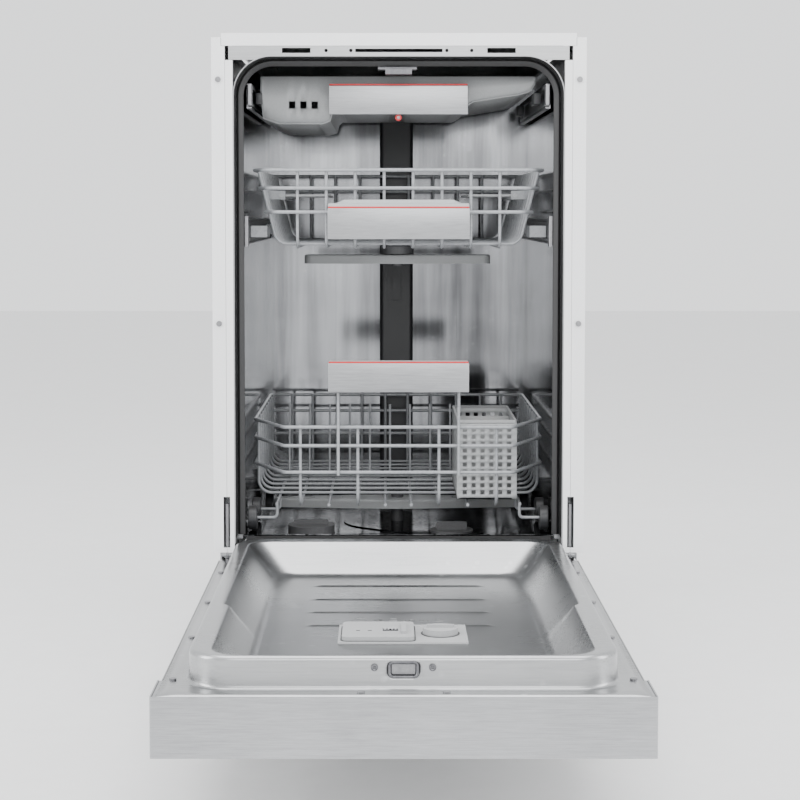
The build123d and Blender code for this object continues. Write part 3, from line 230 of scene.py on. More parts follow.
def make_spots():
    """Dried water marks: rings round scattered points, present only where a second noise is high."""
    tree, net, given, out = new_group("water_marks", [
        ("Vector", "NodeSocketVector", None), ("Scale", "NodeSocketFloat", 60.0),
        ("Amount", "NodeSocketFloat", 0.5)], ["Mask"])
    cells = net.add("ShaderNodeTexVoronoi", {"Vector": given["Vector"], "Scale": given["Scale"]})
    ring = net.add("ShaderNodeMapRange", {"Value": cells.outputs["Distance"], "From Min": 0.14, "From Max": 0.24,
                                          "To Min": 1.0, "To Max": 0.0})
    patch = net.add("ShaderNodeTexNoise", {"Vector": given["Vector"], "Scale": 14.0})
    where = net.add("ShaderNodeMapRange", {"Value": patch.outputs[0], "From Min": 0.48, "From Max": 0.68})
    both = net.add("ShaderNodeMath", {0: ring.outputs[0], 1: where.outputs[0]}, operation="MULTIPLY")
    scaled = net.add("ShaderNodeMath", {0: both.outputs[0], 1: given["Amount"]}, operation="MULTIPLY")
    net.tree.links.new(scaled.outputs[0], out["Mask"])
    return tree


def make_dust():
    """Settled dust: strongest on faces that look up, broken up by noise."""
    tree, net, given, out = new_group("dust", [
        ("Vector", "NodeSocketVector", None), ("Amount", "NodeSocketFloat", 0.3)], ["Mask"])
    facing = net.add("ShaderNodeSeparateXYZ", {0: net.add("ShaderNodeNewGeometry").outputs["Normal"]})
    up = net.add("ShaderNodeMapRange", {"Value": facing.outputs[2], "From Min": 0.4, "From Max": 1.0})
    noise = net.add("ShaderNodeTexNoise", {"Vector": given["Vector"], "Scale": 35.0, "Detail": 5.0})
    both = net.add("ShaderNodeMath", {0: up.outputs[0], 1: noise.outputs[0]}, operation="MULTIPLY")
    scaled = net.add("ShaderNodeMath", {0: both.outputs[0], 1: given["Amount"]}, operation="MULTIPLY")
    net.tree.links.new(scaled.outputs[0], out["Mask"])
    return tree


GRAIN = make_grain()
SPOTS = make_spots()
DUST = make_dust()


def finish_of(name, dark, light, rough, metallic=0.0, stretch=(1, 1, 1), scale=300.0, bump=0.1, bump_mm=0.05,
              broad_tint=0.35, spots=0.0, spot_scale=60.0, dust=0.0, coat=0.0, specular=0.5):
    """A finish whose colour and roughness run between two values with the grain, with water marks and dust."""
    material = bpy.data.materials.new(name)
    material.use_nodes = True
    net = Net(material.node_tree)
    shader = material.node_tree.nodes["Principled BSDF"]
    where = net.add("ShaderNodeTexCoord").outputs["Object"]
    grain = net.add("ShaderNodeGroup", node_tree=GRAIN)
    material.node_tree.links.new(where, grain.inputs["Vector"])
    grain.inputs["Stretch"].default_value = stretch
    grain.inputs["Scale"].default_value = scale
    tone = net.add("ShaderNodeMix", {0: broad_tint, 2: grain.outputs["Fine"], 3: grain.outputs["Broad"]},
                   data_type="FLOAT").outputs[0]
    colour = net.blend(tone, (*dark, 1), (*light, 1))
    roughness = net.between(tone, rough[0], rough[1])
    if spots:
        marks = net.add("ShaderNodeGroup", node_tree=SPOTS)
        material.node_tree.links.new(where, marks.inputs["Vector"])
        marks.inputs["Scale"].default_value = spot_scale
        marks.inputs["Amount"].default_value = spots
        colour = net.blend(marks.outputs[0], colour, WATER_MARK)
        roughness = net.add("ShaderNodeMath", {0: marks.outputs[0], 1: MARK_ROUGHNESS, 2: roughness},
                            operation="MULTIPLY_ADD").outputs[0]
    if dust:
        settled = net.add("ShaderNodeGroup", node_tree=DUST)
        material.node_tree.links.new(where, settled.inputs["Vector"])
        settled.inputs["Amount"].default_value = dust
        colour = net.blend(settled.outputs[0], colour, DUST_COLOUR)
    lift = net.add("ShaderNodeBump", {"Height": grain.outputs["Fine"], "Strength": bump, "Distance": bump_mm * MM})
    for socket, value in (("Base Color", colour), ("Roughness", roughness), ("Normal", lift.outputs[0])):
        material.node_tree.links.new(value, shader.inputs[socket])
    shader.inputs["Metallic"].default_value = metallic
    shader.inputs["Specular IOR Level"].default_value = specular
    shader.inputs["Coat Weight"].default_value = coat
    return material


ACROSS = (0.04, 1.0, 1.0)
white_paint = finish_of("white_paint", (0.80, 0.81, 0.82), (0.88, 0.88, 0.88), (0.32, 0.42), scale=500, bump=0.12,
                        bump_mm=0.04, dust=0.10)
brushed_steel = finish_of("brushed_steel", (0.30, 0.305, 0.315), (0.47, 0.475, 0.485), (0.26, 0.40), 1.0, ACROSS, 900,
                          bump=0.25, bump_mm=0.02)
satin_steel = finish_of("satin_steel", (0.31, 0.315, 0.32), (0.47, 0.475, 0.48), (0.24, 0.36), 1.0, ACROSS, 500,
                        bump=0.12, bump_mm=0.02, broad_tint=0.6, spots=0.35)
# Painted light: the tub's sides stay near-black as painted shade with bright upright streaks as painted reflections,
# and its back, the same steel, is painted lighter with reflection streaks
tub_steel_painted_shade_and_reflections = finish_of("tub_steel_painted_shade_and_reflections", (0.004, 0.004, 0.005), (0.17, 0.173, 0.178), (0.05, 0.14), 1.0,
                      (1.0, 0.8, 0.05), 30, bump=0.35, bump_mm=0.30, broad_tint=0.2, spots=0.10, spot_scale=90)
back_steel_painted_reflections = finish_of("back_steel_painted_reflections", (0.06, 0.06, 0.064), (0.58, 0.59, 0.61), (0.07, 0.16), 1.0,
                       (1.0, 0.8, 0.06), 14, bump=0.30, bump_mm=0.30, broad_tint=0.3, spots=0.10, spot_scale=90)
collar_steel = finish_of("collar_steel", (0.30, 0.305, 0.31), (0.46, 0.465, 0.47), (0.26, 0.40), 1.0, ACROSS, 400,
                         bump=0.1, bump_mm=0.02)
zinc_steel = finish_of("zinc_steel", (0.38, 0.39, 0.40), (0.60, 0.61, 0.62), (0.30, 0.48), 1.0, scale=90, bump=0.1,
                       bump_mm=0.03, dust=0.3)
dark_steel = finish_of("dark_steel", (0.10, 0.10, 0.11), (0.22, 0.22, 0.23), (0.28, 0.42), 1.0, scale=200, bump=0.1)
seal_rubber = finish_of("seal_rubber", (0.012, 0.012, 0.013), (0.035, 0.035, 0.036), (0.40, 0.60), scale=600,
                        bump=0.3, bump_mm=0.06, dust=0.08)
grey_plastic = finish_of("grey_plastic", (0.32, 0.33, 0.335), (0.42, 0.43, 0.435), (0.32, 0.46), scale=900, bump=0.2,
                         bump_mm=0.03, dust=0.08)
pale_plastic = finish_of("pale_plastic", (0.34, 0.345, 0.35), (0.43, 0.435, 0.44), (0.30, 0.44), scale=900, bump=0.2,
                         bump_mm=0.03, dust=0.06)
coated_wire = finish_of("coated_wire", (0.24, 0.25, 0.265), (0.36, 0.37, 0.385), (0.24, 0.36), scale=260, bump=0.15,
                        bump_mm=0.05, coat=0.3)
dark_plastic = finish_of("dark_plastic", (0.022, 0.023, 0.025), (0.05, 0.051, 0.055), (0.32, 0.50), scale=800,
                         bump=0.2, bump_mm=0.03, dust=0.1)
base_plastic = finish_of("base_plastic", (0.045, 0.046, 0.05), (0.09, 0.09, 0.095), (0.45, 0.62), scale=500,
                         bump=0.3, bump_mm=0.05, dust=0.3)
cast_weight = finish_of("cast_weight", (0.10, 0.095, 0.09), (0.22, 0.21, 0.20), (0.70, 0.90), scale=160, bump=0.6,
                        bump_mm=0.3, dust=0.3)
arm_plastic = finish_of("arm_plastic", (0.07, 0.071, 0.075), (0.13, 0.131, 0.135), (0.34, 0.48), scale=800, bump=0.2,
                        bump_mm=0.03, dust=0.08)
black_glass = finish_of("black_glass", (0.006, 0.006, 0.008), (0.012, 0.012, 0.015), (0.04, 0.09), scale=40,
                        bump=0.02, spots=0.1, coat=0.5)
red_accent = finish_of("red_accent", (0.50, 0.015, 0.02), (0.66, 0.03, 0.035), (0.25, 0.38), scale=600, bump=0.1)
socket_steel = finish_of("socket_steel", (0.20, 0.20, 0.21), (0.34, 0.34, 0.35), (0.30, 0.44), 1.0, scale=300,
                         bump=0.15, bump_mm=0.03)

FINISHES = {
    white_paint: ["side_panel_left", "side_panel_right", "frame_strips", "top_cover"],
    zinc_steel: ["rear_panel", "hinge_brackets", "door_springs", "foot_front_left",
                 "foot_front_right", "foot_rear"],
    collar_steel: ["front_frame", "door_skin", "kick_plate"],
    tub_steel_painted_shade_and_reflections: ["tub_wrap", "tub_floor", "filter_plate"],
    back_steel_painted_reflections: ["tub_back"],
    satin_steel: ["door_liner"],
    brushed_steel: ["door_fascia", "power_button", "lower_handle", "upper_handle", "drawer_handle"],
    seal_rubber: ["door_gaskets"],
    base_plastic: ["base_tray", "salt_container", "sump"],
    dark_plastic: ["door_lock", "circulation_pump", "drain_pump", "power_inlet", "water_duct",
                   "lower_rollers_front", "lower_rollers_middle", "lower_rollers_rear"],
    grey_plastic: ["cup_shelf_left", "cup_shelf_right", "cutlery_tray", "cutlery_basket", "upper_spray_arm",
                   "lower_spray_arm"],
    arm_plastic: ["upper_feed_pipe", "filter_cylinder", "salt_cap"],
    pale_plastic: ["dispenser_housing", "dispenser_lid", "rinse_cap", "inlet_valve"],
    coated_wire: ["lower_basket", "lower_tines", "upper_basket"],
    socket_steel: ["hinge_levers", "fixed_rails", "upper_slide_rails", "drawer_slide_rails", "cabinet_screws",
                   "door_screws"],
    dark_steel: ["strike_hook"],
    cast_weight: ["counterweight"],
    black_glass: ["display_window"],
}
for material, names in FINISHES.items():
    for node_name in names:
        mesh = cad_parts[node_name].data
        mesh.materials.clear()
        mesh.materials.append(material)


# Door liner

liner_low, liner_high = edges("door_liner")
DOOR_FACE = edges("door_skin")[1][2]
RIM_TOP = liner_high[2]
RIM_HALF = 195.5
RIM_FAR = liner_low[1] + 25.0
RIM_NEAR = 6.0
RIM_CORNER = 40.0
FOOT_OUT = 0.6
LEAN = 0.9
FOOT_R = 3.5
TOP_R = 4.5
TOP_IN = 0.4
FLANGE_W = 12.0
WALL_HEIGHTS = (8.0, 12.0, 16.0, 20.0, 24.0)
PAN_EDGE_R = 2.6
PAN_HALF = 174.5
PAN_FAR = RIM_FAR + 6.5
PAN_NEAR = -16.0
PAN_CORNER = 26.0
PAN_LEAN = 28.0
PAN_DEEP = DOOR_FACE - 6.6
PAN_FOOT_R = 12.0
FLOOR_HALF = 131.0
FLOOR_Y = (-537.0, -61.0)
LATCH = (-12.0, 12.0, DOOR_FACE + 12.0, DOOR_FACE + 24.0)
RIBS_Y = (-103.0, -177.0, -243.0, -307.0)
RIB_REACH = (-99.0, 97.0)
JOG_Y = -372.0
JOG_W = 5.5
JOG_L = 8.0
RIB_H = 1.1
RIB_W = 2.2
RIB_END = 8.0
SIDE_STRAIGHT = 0.86
dish_low, dish_high = edges("dispenser_housing")
DISH_EDGE = 3.0


def step_at(value, start, width):
    """Smooth step from 0 to 1 between start and start plus width."""
    t = np.clip((value - start) / width, 0, 1)
    return t * t * (3 - 2 * t)


def ring_points(rings, u, v):
    """Points of closed rings, one row each. A ring is (half width, near end, far end, corner radius, height). Along
    a side, the parameter runs the straight part up to SIDE_STRAIGHT and then an eighth of a circle."""
    half, y0, y1, radius, z = (column[:, None] for column in np.array(rings, float).T)
    straight = np.where(radius > 0.01, SIDE_STRAIGHT, 1.0)

    def side(t):
        run = np.clip(t / straight, -1, 1)
        swing = np.clip((abs(t) - straight) / np.maximum(1 - straight, 1e-9), 0, 1) * math.pi / 4
        return run, np.sign(t) * radius * np.sin(swing), radius * np.cos(swing)

    mid, reach = (y0 + y1) / 2, (y1 - y0) / 2
    run_u, along_u, out_u = side(u[None])
    run_v, along_v, out_v = side(v[None])
    low_x = run_u * (half - radius) + along_u
    low_y = y0 + radius - out_u
    right_x = half - radius + out_v
    right_y = mid + run_v * (reach - radius) + along_v
    x = np.concatenate([low_x[:, :-1], right_x[:, :-1], low_x[:, :0:-1], -right_x[:, :0:-1]], 1)
    y = np.concatenate([low_y[:, :-1], right_y[:, :-1], 2 * mid - low_y[:, :0:-1], right_y[:, :0:-1]], 1)
    return np.stack([x, y, np.broadcast_to(z, x.shape)], -1)


def liner_section():
    """Rings from the liner's flange over the rim to the pan's floor: foot fillet, leaning wall, rounded top, sloping
    pan wall and floor fillet, each fillet a quarter or part circle in steps."""
    rings = [(liner_high[0], liner_low[1], liner_high[1], 0.6, DOOR_FACE),
             (RIM_HALF + FLANGE_W, RIM_FAR - FLANGE_W, RIM_NEAR + 8, RIM_CORNER - 6, DOOR_FACE)]
    for a in np.linspace(0, math.pi / 2, 5):
        out = FOOT_R * (1 - math.sin(a)) + FOOT_OUT
        rings.append((RIM_HALF + out, RIM_FAR - out, RIM_NEAR + out, RIM_CORNER + out,
                      DOOR_FACE + FOOT_R * (1 - math.cos(a))))
    for z in WALL_HEIGHTS:
        into = LEAN * (z - FOOT_R) / (RIM_TOP - DOOR_FACE)
        rings.append((RIM_HALF + FOOT_OUT - into, RIM_FAR - FOOT_OUT + into, RIM_NEAR + FOOT_OUT - into, RIM_CORNER,
                      DOOR_FACE + z))
    for a in np.linspace(0, math.pi / 2, 6):
        out = TOP_R * math.cos(a) - TOP_R - TOP_IN
        rings.append((RIM_HALF + TOP_IN + out, RIM_FAR - TOP_IN - out, RIM_NEAR + TOP_IN + out, RIM_CORNER + out,
                      RIM_TOP - TOP_R * (1 - math.sin(a))))
    slope = math.atan2(RIM_TOP - PAN_DEEP, PAN_LEAN)
    for a in np.linspace(0, slope, 5):
        out = PAN_EDGE_R * (math.tan(slope / 2) - math.sin(a))
        rings.append((PAN_HALF + out, PAN_FAR - out, PAN_NEAR + out, PAN_CORNER + out,
                      RIM_TOP - PAN_EDGE_R * (1 - math.cos(a))))
    for part in (0.33, 0.66):
        rings.append((PAN_HALF - PAN_LEAN * part, PAN_FAR + PAN_LEAN * part, PAN_NEAR - PAN_LEAN * part, PAN_CORNER,
                      RIM_TOP - (RIM_TOP - PAN_DEEP) * part))
    for a in np.linspace(slope, 0, 6):
        out = PAN_FOOT_R * (math.sin(a) - math.tan(slope / 2))
        rings.append((PAN_HALF - PAN_LEAN + out, PAN_FAR + PAN_LEAN - out, PAN_NEAR - PAN_LEAN + out, PAN_CORNER,
                      PAN_DEEP + PAN_FOOT_R * (1 - math.cos(a))))
    rings.append((FLOOR_HALF, *FLOOR_Y, 0.0, PAN_DEEP))
    return rings


def lines_between(fixed, others, gap):
    """Sorted line positions: the fixed ones, and the others that keep the gap from all of them."""
    fixed = np.unique(np.array(fixed, float))
    others = np.unique(np.array(others, float))
    clear = abs(others[:, None] - fixed).min(1) > gap
    return np.sort(np.concatenate([fixed, others[clear]]))


def liner_shape():
    """The whole inner sheet: the rings, a jog in the side rims' inner edge, and a floor grid whose height adds low
    pressed ribs, each a bell curve across and a smooth step at both ends."""
    rings = liner_section()
    mid_y = sum(FLOOR_Y) / 2
    reach_y = (FLOOR_Y[1] - FLOOR_Y[0]) / 2
    corner = np.linspace(SIDE_STRAIGHT, 1, 7)
    latch_u = LATCH[1] / (RIM_HALF - RIM_CORNER) * SIDE_STRAIGHT
    fixed_u = [-latch_u, latch_u, (dish_low[0] + DISH_EDGE) / FLOOR_HALF, (dish_high[0] - DISH_EDGE) / FLOOR_HALF]
    u = lines_between([*fixed_u, *corner, *-corner], np.linspace(-SIDE_STRAIGHT, SIDE_STRAIGHT, 56), 0.012)
    near_rib = np.array([-6.0, -4.2, -2.8, -1.4, 0, 1.4, 2.8, 4.2, 6.0])
    rib_lines = (np.array(RIBS_Y)[:, None] + near_rib).ravel()
    dish_lines = np.array([dish_low[1] + DISH_EDGE, dish_high[1] - DISH_EDGE])
    dish_v = (dish_lines - mid_y) / reach_y
    rib_v = lines_between(dish_v, (rib_lines - mid_y) / reach_y, 0.004)
    v = lines_between([*rib_v, *corner, *-corner], np.linspace(-SIDE_STRAIGHT, SIDE_STRAIGHT, 64), 0.008)
    points = ring_points(rings, u, v)
    inner = np.array([ring[0] < RIM_HALF - 15 and ring[4] > PAN_DEEP + 1 for ring in rings])[:, None]
    height = (points[..., 2] - PAN_DEEP) / (RIM_TOP - PAN_DEEP)
    jog = (step_at(points[..., 1], JOG_Y - JOG_L / 2, JOG_L) * JOG_W - 1.0) * inner * np.clip(height, 0, 1)
    points[..., 0] += jog * np.clip(points[..., 0] / 150, -1, 1)
    rows, cols = points.shape[:2]
    faces = quads(rows, cols, False, True)
    flat = points.reshape(-1, 3)
    centre = flat[faces].mean(1)
    latch = ((abs(centre[:, 0]) < LATCH[1]) & (centre[:, 1] < RIM_FAR + 5) & (centre[:, 2] > LATCH[2])
             & (centre[:, 2] < LATCH[3]))
    faces = faces[~latch]

    x, y = np.meshgrid(FLOOR_HALF * u, mid_y + reach_y * v)
    rib = np.exp(-((y[..., None] - np.array(RIBS_Y)) / RIB_W) ** 2).sum(-1)
    rib *= step_at(x, RIB_REACH[0], RIB_END) * (1 - step_at(x, RIB_REACH[1] - RIB_END, RIB_END))
    floor = np.stack([x, y, PAN_DEEP + RIB_H * rib], -1).reshape(-1, 3)
    floor_faces = quads(len(v), len(u))
    middle = floor[floor_faces].mean(1)
    dish = ((middle[:, 0] > dish_low[0] + DISH_EDGE) & (middle[:, 0] < dish_high[0] - DISH_EDGE)
            & (middle[:, 1] > dish_low[1] + DISH_EDGE) & (middle[:, 1] < dish_high[1] - DISH_EDGE))
    return joined([(flat, faces.tolist()), (floor, floor_faces[~dish].tolist())])


add_piece("door_inner_sheet", liner_shape(), satin_steel, "door", ["door_liner"], closed=False,
          sharp=60, thickness=0.8)


def frame_ring(centre, half_a, half_b, radius, profile, normal="y", steps=5):
    """A profile of (outward, forward) pairs carried round a rounded rectangle that faces along one axis."""
    path, out = rounded_rectangle(half_a, half_b, radius, steps)
    zero = np.zeros(len(path))
    if normal == "y":
        place = np.stack([path[:, 0], zero, path[:, 1]], 1)
        right = np.stack([out[:, 0], zero, out[:, 1]], 1)
        up = np.broadcast_to([0.0, -1.0, 0.0], place.shape)
    else:
        place = np.stack([path[:, 0], path[:, 1], zero], 1)
        right = np.stack([out[:, 0], out[:, 1], zero], 1)
        up = np.broadcast_to([0.0, 0.0, 1.0], place.shape)
    return carried(np.array(profile, float), place + np.array(centre, float), right, up, True, True)


LATCH_MID = (0.0, RIM_FAR - 1.0, (LATCH[2] + LATCH[3]) / 2)
add_piece("latch_surround", frame_ring(LATCH_MID, 12.4, 6.4, 3.2, [(-1.0, -2.5), (-1.0, 0.4), (-0.2, 1.0), (1.1, 0.9),
                                                                  (1.5, 0.2), (1.5, -0.4)]),
          dark_steel, "door")
latch_cover = rounded_box((-11.2, RIM_FAR + 0.8, LATCH[2] + 0.9), (11.2, RIM_FAR + 2.6, LATCH[3] - 0.9), 0.8)
add_piece("latch_cover", latch_cover, socket_steel, "door")
LATCH_SCREW_X = 26.0
SCREW_HEAD = [(0.0, 0.5), (0.9, 0.5), (1.2, 1.3), (2.2, 1.6), (3.0, 1.1), (3.3, 0.3), (3.3, 0.0), (0.0, 0.0)]
side_screws = joined([turned([(r, -h) for r, h in SCREW_HEAD], (x, RIM_FAR - 0.9, LATCH_MID[2] + 2), "y", 20)
                      for x in (-LATCH_SCREW_X, LATCH_SCREW_X)])
add_piece("latch_screws", side_screws, dark_steel, "door")


# Trim of the door's end and the marks on its inner face

end_low, end_high = edges("door_fascia")
END_CAP_X = 220.3
END_CAP_HALF = 2.2
end_caps = [rounded_box((x - END_CAP_HALF, end_low[1] + 1.7, DOOR_FACE - 4),
                        (x + END_CAP_HALF, end_high[1], DOOR_FACE - 0.2), 1.0)
            for x in (-END_CAP_X, END_CAP_X)]
add_piece("door_end_caps", joined(end_caps), brushed_steel, "door")


def mark_disc(x, y, z, radius, height=0.5, steps=24):
    """A low round mark with a chamfered edge."""
    return turned([(0.0, 0.0), (radius, 0.0), (radius, height * 0.5), (radius - 0.4, height), (0.0, height)],
                  (x, y, z), "z", steps)


def mark_bar(x, y, z, length, width, height=0.5):
    """A low bar-shaped mark."""
    return rounded_box((x - length / 2, y - width / 2, z - 0.2), (x + length / 2, y + width / 2, z + height), 0.3, 2)


MARKS_Y = -278.0
# Bars as (x, y from the row, length, width) and discs as (x, y from the row, radius)
MARK_BARS = [(-44, -7, 17, 3.2), (-44, 6, 10, 2.6), (-24, 6, 2, 6), (-8, -6, 9, 2.6), (-8, 4, 7, 2.4),
             (29, -5, 2.2, 8), (40, -8, 9, 2.6)]
MARK_DISCS = [(-24, -2, 4.6), (4, -5, 1.8), (12, -3, 3.4), (22, -6, 2.4), (40, 2, 3.0)]
pressed = [mark_bar(x, MARKS_Y + y, PAN_DEEP, *size) for x, y, *size in MARK_BARS]
pressed += [mark_disc(x, MARKS_Y + y, PAN_DEEP, radius) for x, y, radius in MARK_DISCS]
add_piece("pressed_marks", joined(pressed), collar_steel, "door")

lid_low, lid_high = edges("dispenser_lid")
cap_low, cap_high = edges("rinse_cap")
lid_mid = (lid_low + lid_high) / 2
cap_mid = (cap_low + cap_high) / 2
LID_TOP = lid_high[2] - 3.0
window = [rounded_box((lid_high[0] - 32, lid_mid[1] - 8, LID_TOP - 0.6),
                      (lid_high[0] - 16, lid_mid[1] + 6, LID_TOP + 0.2), 0.3, 2)]
window += [mark_bar(lid_low[0] + 16 + 12 * i, lid_mid[1] - 6, LID_TOP, 4.0, 3.0, 0.25) for i in range(2)]
add_piece("lid_window", joined(window), black_glass, "detergent_lid")
bars = [mark_bar(lid_high[0] - 29.5 + 3.6 * i, lid_mid[1] + 1, LID_TOP + 0.2, 1.6, 7.0, 0.2) for i in range(4)]
add_piece("lid_window_bars", joined(bars), pale_plastic, "detergent_lid")
track = frame_ring((lid_mid[0], lid_mid[1], lid_low[2] - 0.6), (lid_high[0] - lid_low[0]) / 2 + 0.9,
                   (lid_high[1] - lid_low[1]) / 2 + 0.9, 6.5, [(-0.7, 0.0), (-0.7, 0.5), (0.7, 0.5), (0.7, 0.0)], "z")
well_in, well_out = cap_high[0] - cap_mid[0] + 0.4, cap_high[0] - cap_mid[0] + 2.0
well = turned([(well_in, 0.0), (well_in, 0.5), (well_out, 0.5), (well_out, 0.0), (well_in, 0.0)],
              (cap_mid[0], cap_mid[1], lid_low[2] - 0.6))
add_piece("dispenser_seams", joined([track, well]), dark_plastic, "door")


# Handles of the racks and the drawer

def grip_shape(low, high, plate, radius=2.2):
    """A grip carried across the rack: its section is a front plate with a rounded foot and a turned-back top, and
    near both ends it shrinks by radius minus the root of the radius squared less the distance squared."""
    depth = high[1] - low[1]
    top, foot = high[2], low[2]
    section = np.array([(0.0, foot + 1.2), (0.35, foot + 0.4), (1.2, foot), (2.4, foot + 0.4), (plate, foot + 1.4),
                        (plate, top - plate), (depth, top - plate), (depth, top - 0.8), (depth - 0.8, top),
                        (1.6, top), (0.5, top - 0.5), (0.0, top - 1.6)])
    ends = radius * np.sin(np.linspace(0, math.pi / 2, 5))
    x = np.concatenate([low[0] + radius - ends[::-1], high[0] - radius + ends])
    shrink = radius - np.sqrt(np.maximum(radius ** 2 - (np.concatenate([ends[::-1], ends])) ** 2, 0))
    middle = section.mean(0)
    reach = abs(section - middle).max(0)
    size = 1 - shrink[:, None] / reach
    ring = middle + (section[None] - middle) * size[:, None]
    points = np.stack(np.broadcast_arrays(x[:, None], low[1] + ring[..., 0], ring[..., 1]), -1)
    return closed_rings(points)


TALL = 40.0
TALL_DROP = 4.0
LINE_DROP = 2.2


def add_handle(label, node, body):
    """Plastic grip with a brushed steel face and a red line along its top edge, lower on a tall handle."""
    low, high = edges(node)
    line_z = high[2] - LINE_DROP - TALL_DROP * (high[2] - low[2] > TALL)
    add_piece(label + "_grip", grip_shape(low + (0.6, 1.2, 0.4), high - (0.6, 0, 0.2), 3.0), pale_plastic, body,
              [node])
    face = rounded_box((low[0], low[1], low[2]), (high[0], low[1] + 2.6, line_z), 0.9)
    add_piece(label + "_steel_face", face, brushed_steel, body)
    line = rounded_box((low[0] + 0.8, low[1] + 0.2, line_z), (high[0] - 0.8, low[1] + 2.4, line_z + 1.9), 0.6)
    add_piece(label + "_red_line", line, red_accent, body)


CREST_HALF = (85.4, 66.0)
CREST_H = 8.6


def crest_shape(low, line_z):
    """A crest behind a handle's top edge: a thin upright section along the width, whose height rises in a smooth
    step from its ends to its middle."""
    right = np.linspace(CREST_HALF[1], CREST_HALF[0], 14)
    x = np.concatenate([-right[::-1], right])
    rise = 0.4 + (CREST_H - 0.4) * np.clip((CREST_HALF[0] - abs(x)) / (CREST_HALF[0] - CREST_HALF[1]), 0, 1)
    section_y = np.array([0.0, 0.0, 0.9, 4.4, 5.2, 5.2])
    section_z = np.array([0.0, 0.88, 1.0, 1.0, 0.88, 0.0])
    lean = 2.0 * section_z
    points = np.stack(np.broadcast_arrays(x[:, None], low[1] + 2.2 + section_y + lean,
                                          line_z + rise[:, None] * section_z), -1)
    return closed_rings(points)


upper_low, upper_high = edges("upper_handle")
CREST_DROP = 4.6
add_piece("upper_rack_crest", crest_shape(upper_low, upper_high[2] - CREST_DROP), grey_plastic, "upper_rack")
add_handle("lower_rack", "lower_handle", "lower_rack")
add_handle("upper_rack", "upper_handle", "upper_rack")
add_handle("drawer", "drawer_handle", "cutlery_drawer")


# Seal round the opening

SEAL_HALF = 193.9
SEAL_TOP = 783.9
SEAL_CORNER = 41.9
SEAL_FOOT = 207.0
SEAL_Y = 32.0
LINING_OUT = 3.1
LIP_HALF = 187.0
LIP_Y = 28.9
LIP_Z = 205.0
LIP_STEPS = 24


def arch_path(half, foot, top, radius, steps=14):
    """Up one side, round a quarter circle, across the top and down the other side, with outward directions."""
    angle = np.linspace(0, math.pi / 2, steps + 1)
    right = np.stack([half - radius + radius * np.cos(angle), top - radius + radius * np.sin(angle)], 1)
    out = np.stack([np.cos(angle), np.sin(angle)], 1)
    path = np.concatenate([[[half, foot]], right, right[::-1] * (-1, 1), [[-half, foot]]])
    out = np.concatenate([[[1, 0]], out, out[::-1] * (-1, 1), [[-1, 0]]])
    zero = np.zeros(len(path))
    return np.stack([path[:, 0], zero, path[:, 1]], 1), np.stack([out[:, 0], zero, out[:, 1]], 1)


seal_path, seal_out = arch_path(SEAL_HALF, SEAL_FOOT, SEAL_TOP, SEAL_CORNER)
seal_profile = np.array([(3.1, -2.4), (3.1, 0.6), (2.4, 1.2), (2.0, 0.4), (1.2, 1.6), (0.0, 2.9), (-1.4, 2.4),
                         (-3.4, 0.9), (-5.6, -0.2), (-6.0, -0.9), (-3.1, -1.6), (-2.6, -2.4)])
forwards = np.broadcast_to([0.0, -1.0, 0.0], seal_path.shape)
seal = carried(seal_profile, seal_path + (0, SEAL_Y, 0), seal_out, forwards)
lining_path, lining_out = arch_path(SEAL_HALF + LINING_OUT, SEAL_FOOT, SEAL_TOP + LINING_OUT,
                                    SEAL_CORNER + LINING_OUT)
lining_profile = np.array([(0.32, 2.6), (0.32, 29.0), (0.1, 29.0), (0.1, 2.6)])
lining = carried(lining_profile, lining_path + (0, SEAL_Y, 0), lining_out, forwards)
lip_profile = np.array([(0.0, 0.0), (0.9, -0.2), (1.1, -6.0), (1.9, -11.6), (1.2, -12.6), (0.2, -12.0), (-0.4, -6.0)])
lip_x = np.linspace(-LIP_HALF, LIP_HALF, LIP_STEPS)
lip_path = np.stack([lip_x, np.full(LIP_STEPS, LIP_Y), np.full(LIP_STEPS, LIP_Z)], 1)
lip = carried(lip_profile, lip_path, np.broadcast_to([0.0, -0.35, 0.0], lip_path.shape),
              np.broadcast_to([0.0, 0.0, 1.0], lip_path.shape))
add_piece("opening_seal", joined([seal, lining, lip]), seal_rubber, "cabinet", ["door_gaskets"],
          sharp=50)


# Cutlery basket

def perforated(u_lines, v_lines, hole):
    """A flat grid without the quads whose middle the hole test picks, as (u, v) points and faces."""
    u, v = np.meshgrid(u_lines, v_lines)
    flat = np.stack([u.ravel(), v.ravel()], 1)
    faces = quads(len(v_lines), len(u_lines))
    middle = flat[faces].mean(1)
    return flat, faces[~hole(middle[:, 0], middle[:, 1])]


def hole_lines(start, end, count, hole, border):
    """Line positions that bound evenly spaced square holes between two borders, and the holes' edges."""
    pitch = (end - start - 2 * border) / count
    first = start + border + (pitch - hole) / 2 + np.arange(count) * pitch
    cuts = np.stack([first, first + hole], 1)
    return np.concatenate([[start], cuts.ravel(), [end]]), cuts


def in_cuts(value, cuts):
    """Whether each value lies in one of the cuts."""
    return ((value[:, None] > cuts[:, 0]) & (value[:, None] < cuts[:, 1])).any(1)


def panel(axis, place, span, height, counts, hole=5.4, border=4.0, facing=1):
    """A perforated upright panel across X or along Y."""
    u_lines, u_cuts = hole_lines(*span, counts[0], hole, border)
    v_lines, v_cuts = hole_lines(*height, counts[1], hole, border)
    flat, faces = perforated(u_lines, v_lines, lambda u, v: in_cuts(u, u_cuts) & in_cuts(v, v_cuts))
    still = np.full(len(flat), place)
    points = np.stack([flat[:, 0], still, flat[:, 1]] if axis == "x" else [still, flat[:, 0], flat[:, 1]], 1)
    return points, (faces if facing > 0 else faces[:, ::-1]).tolist()


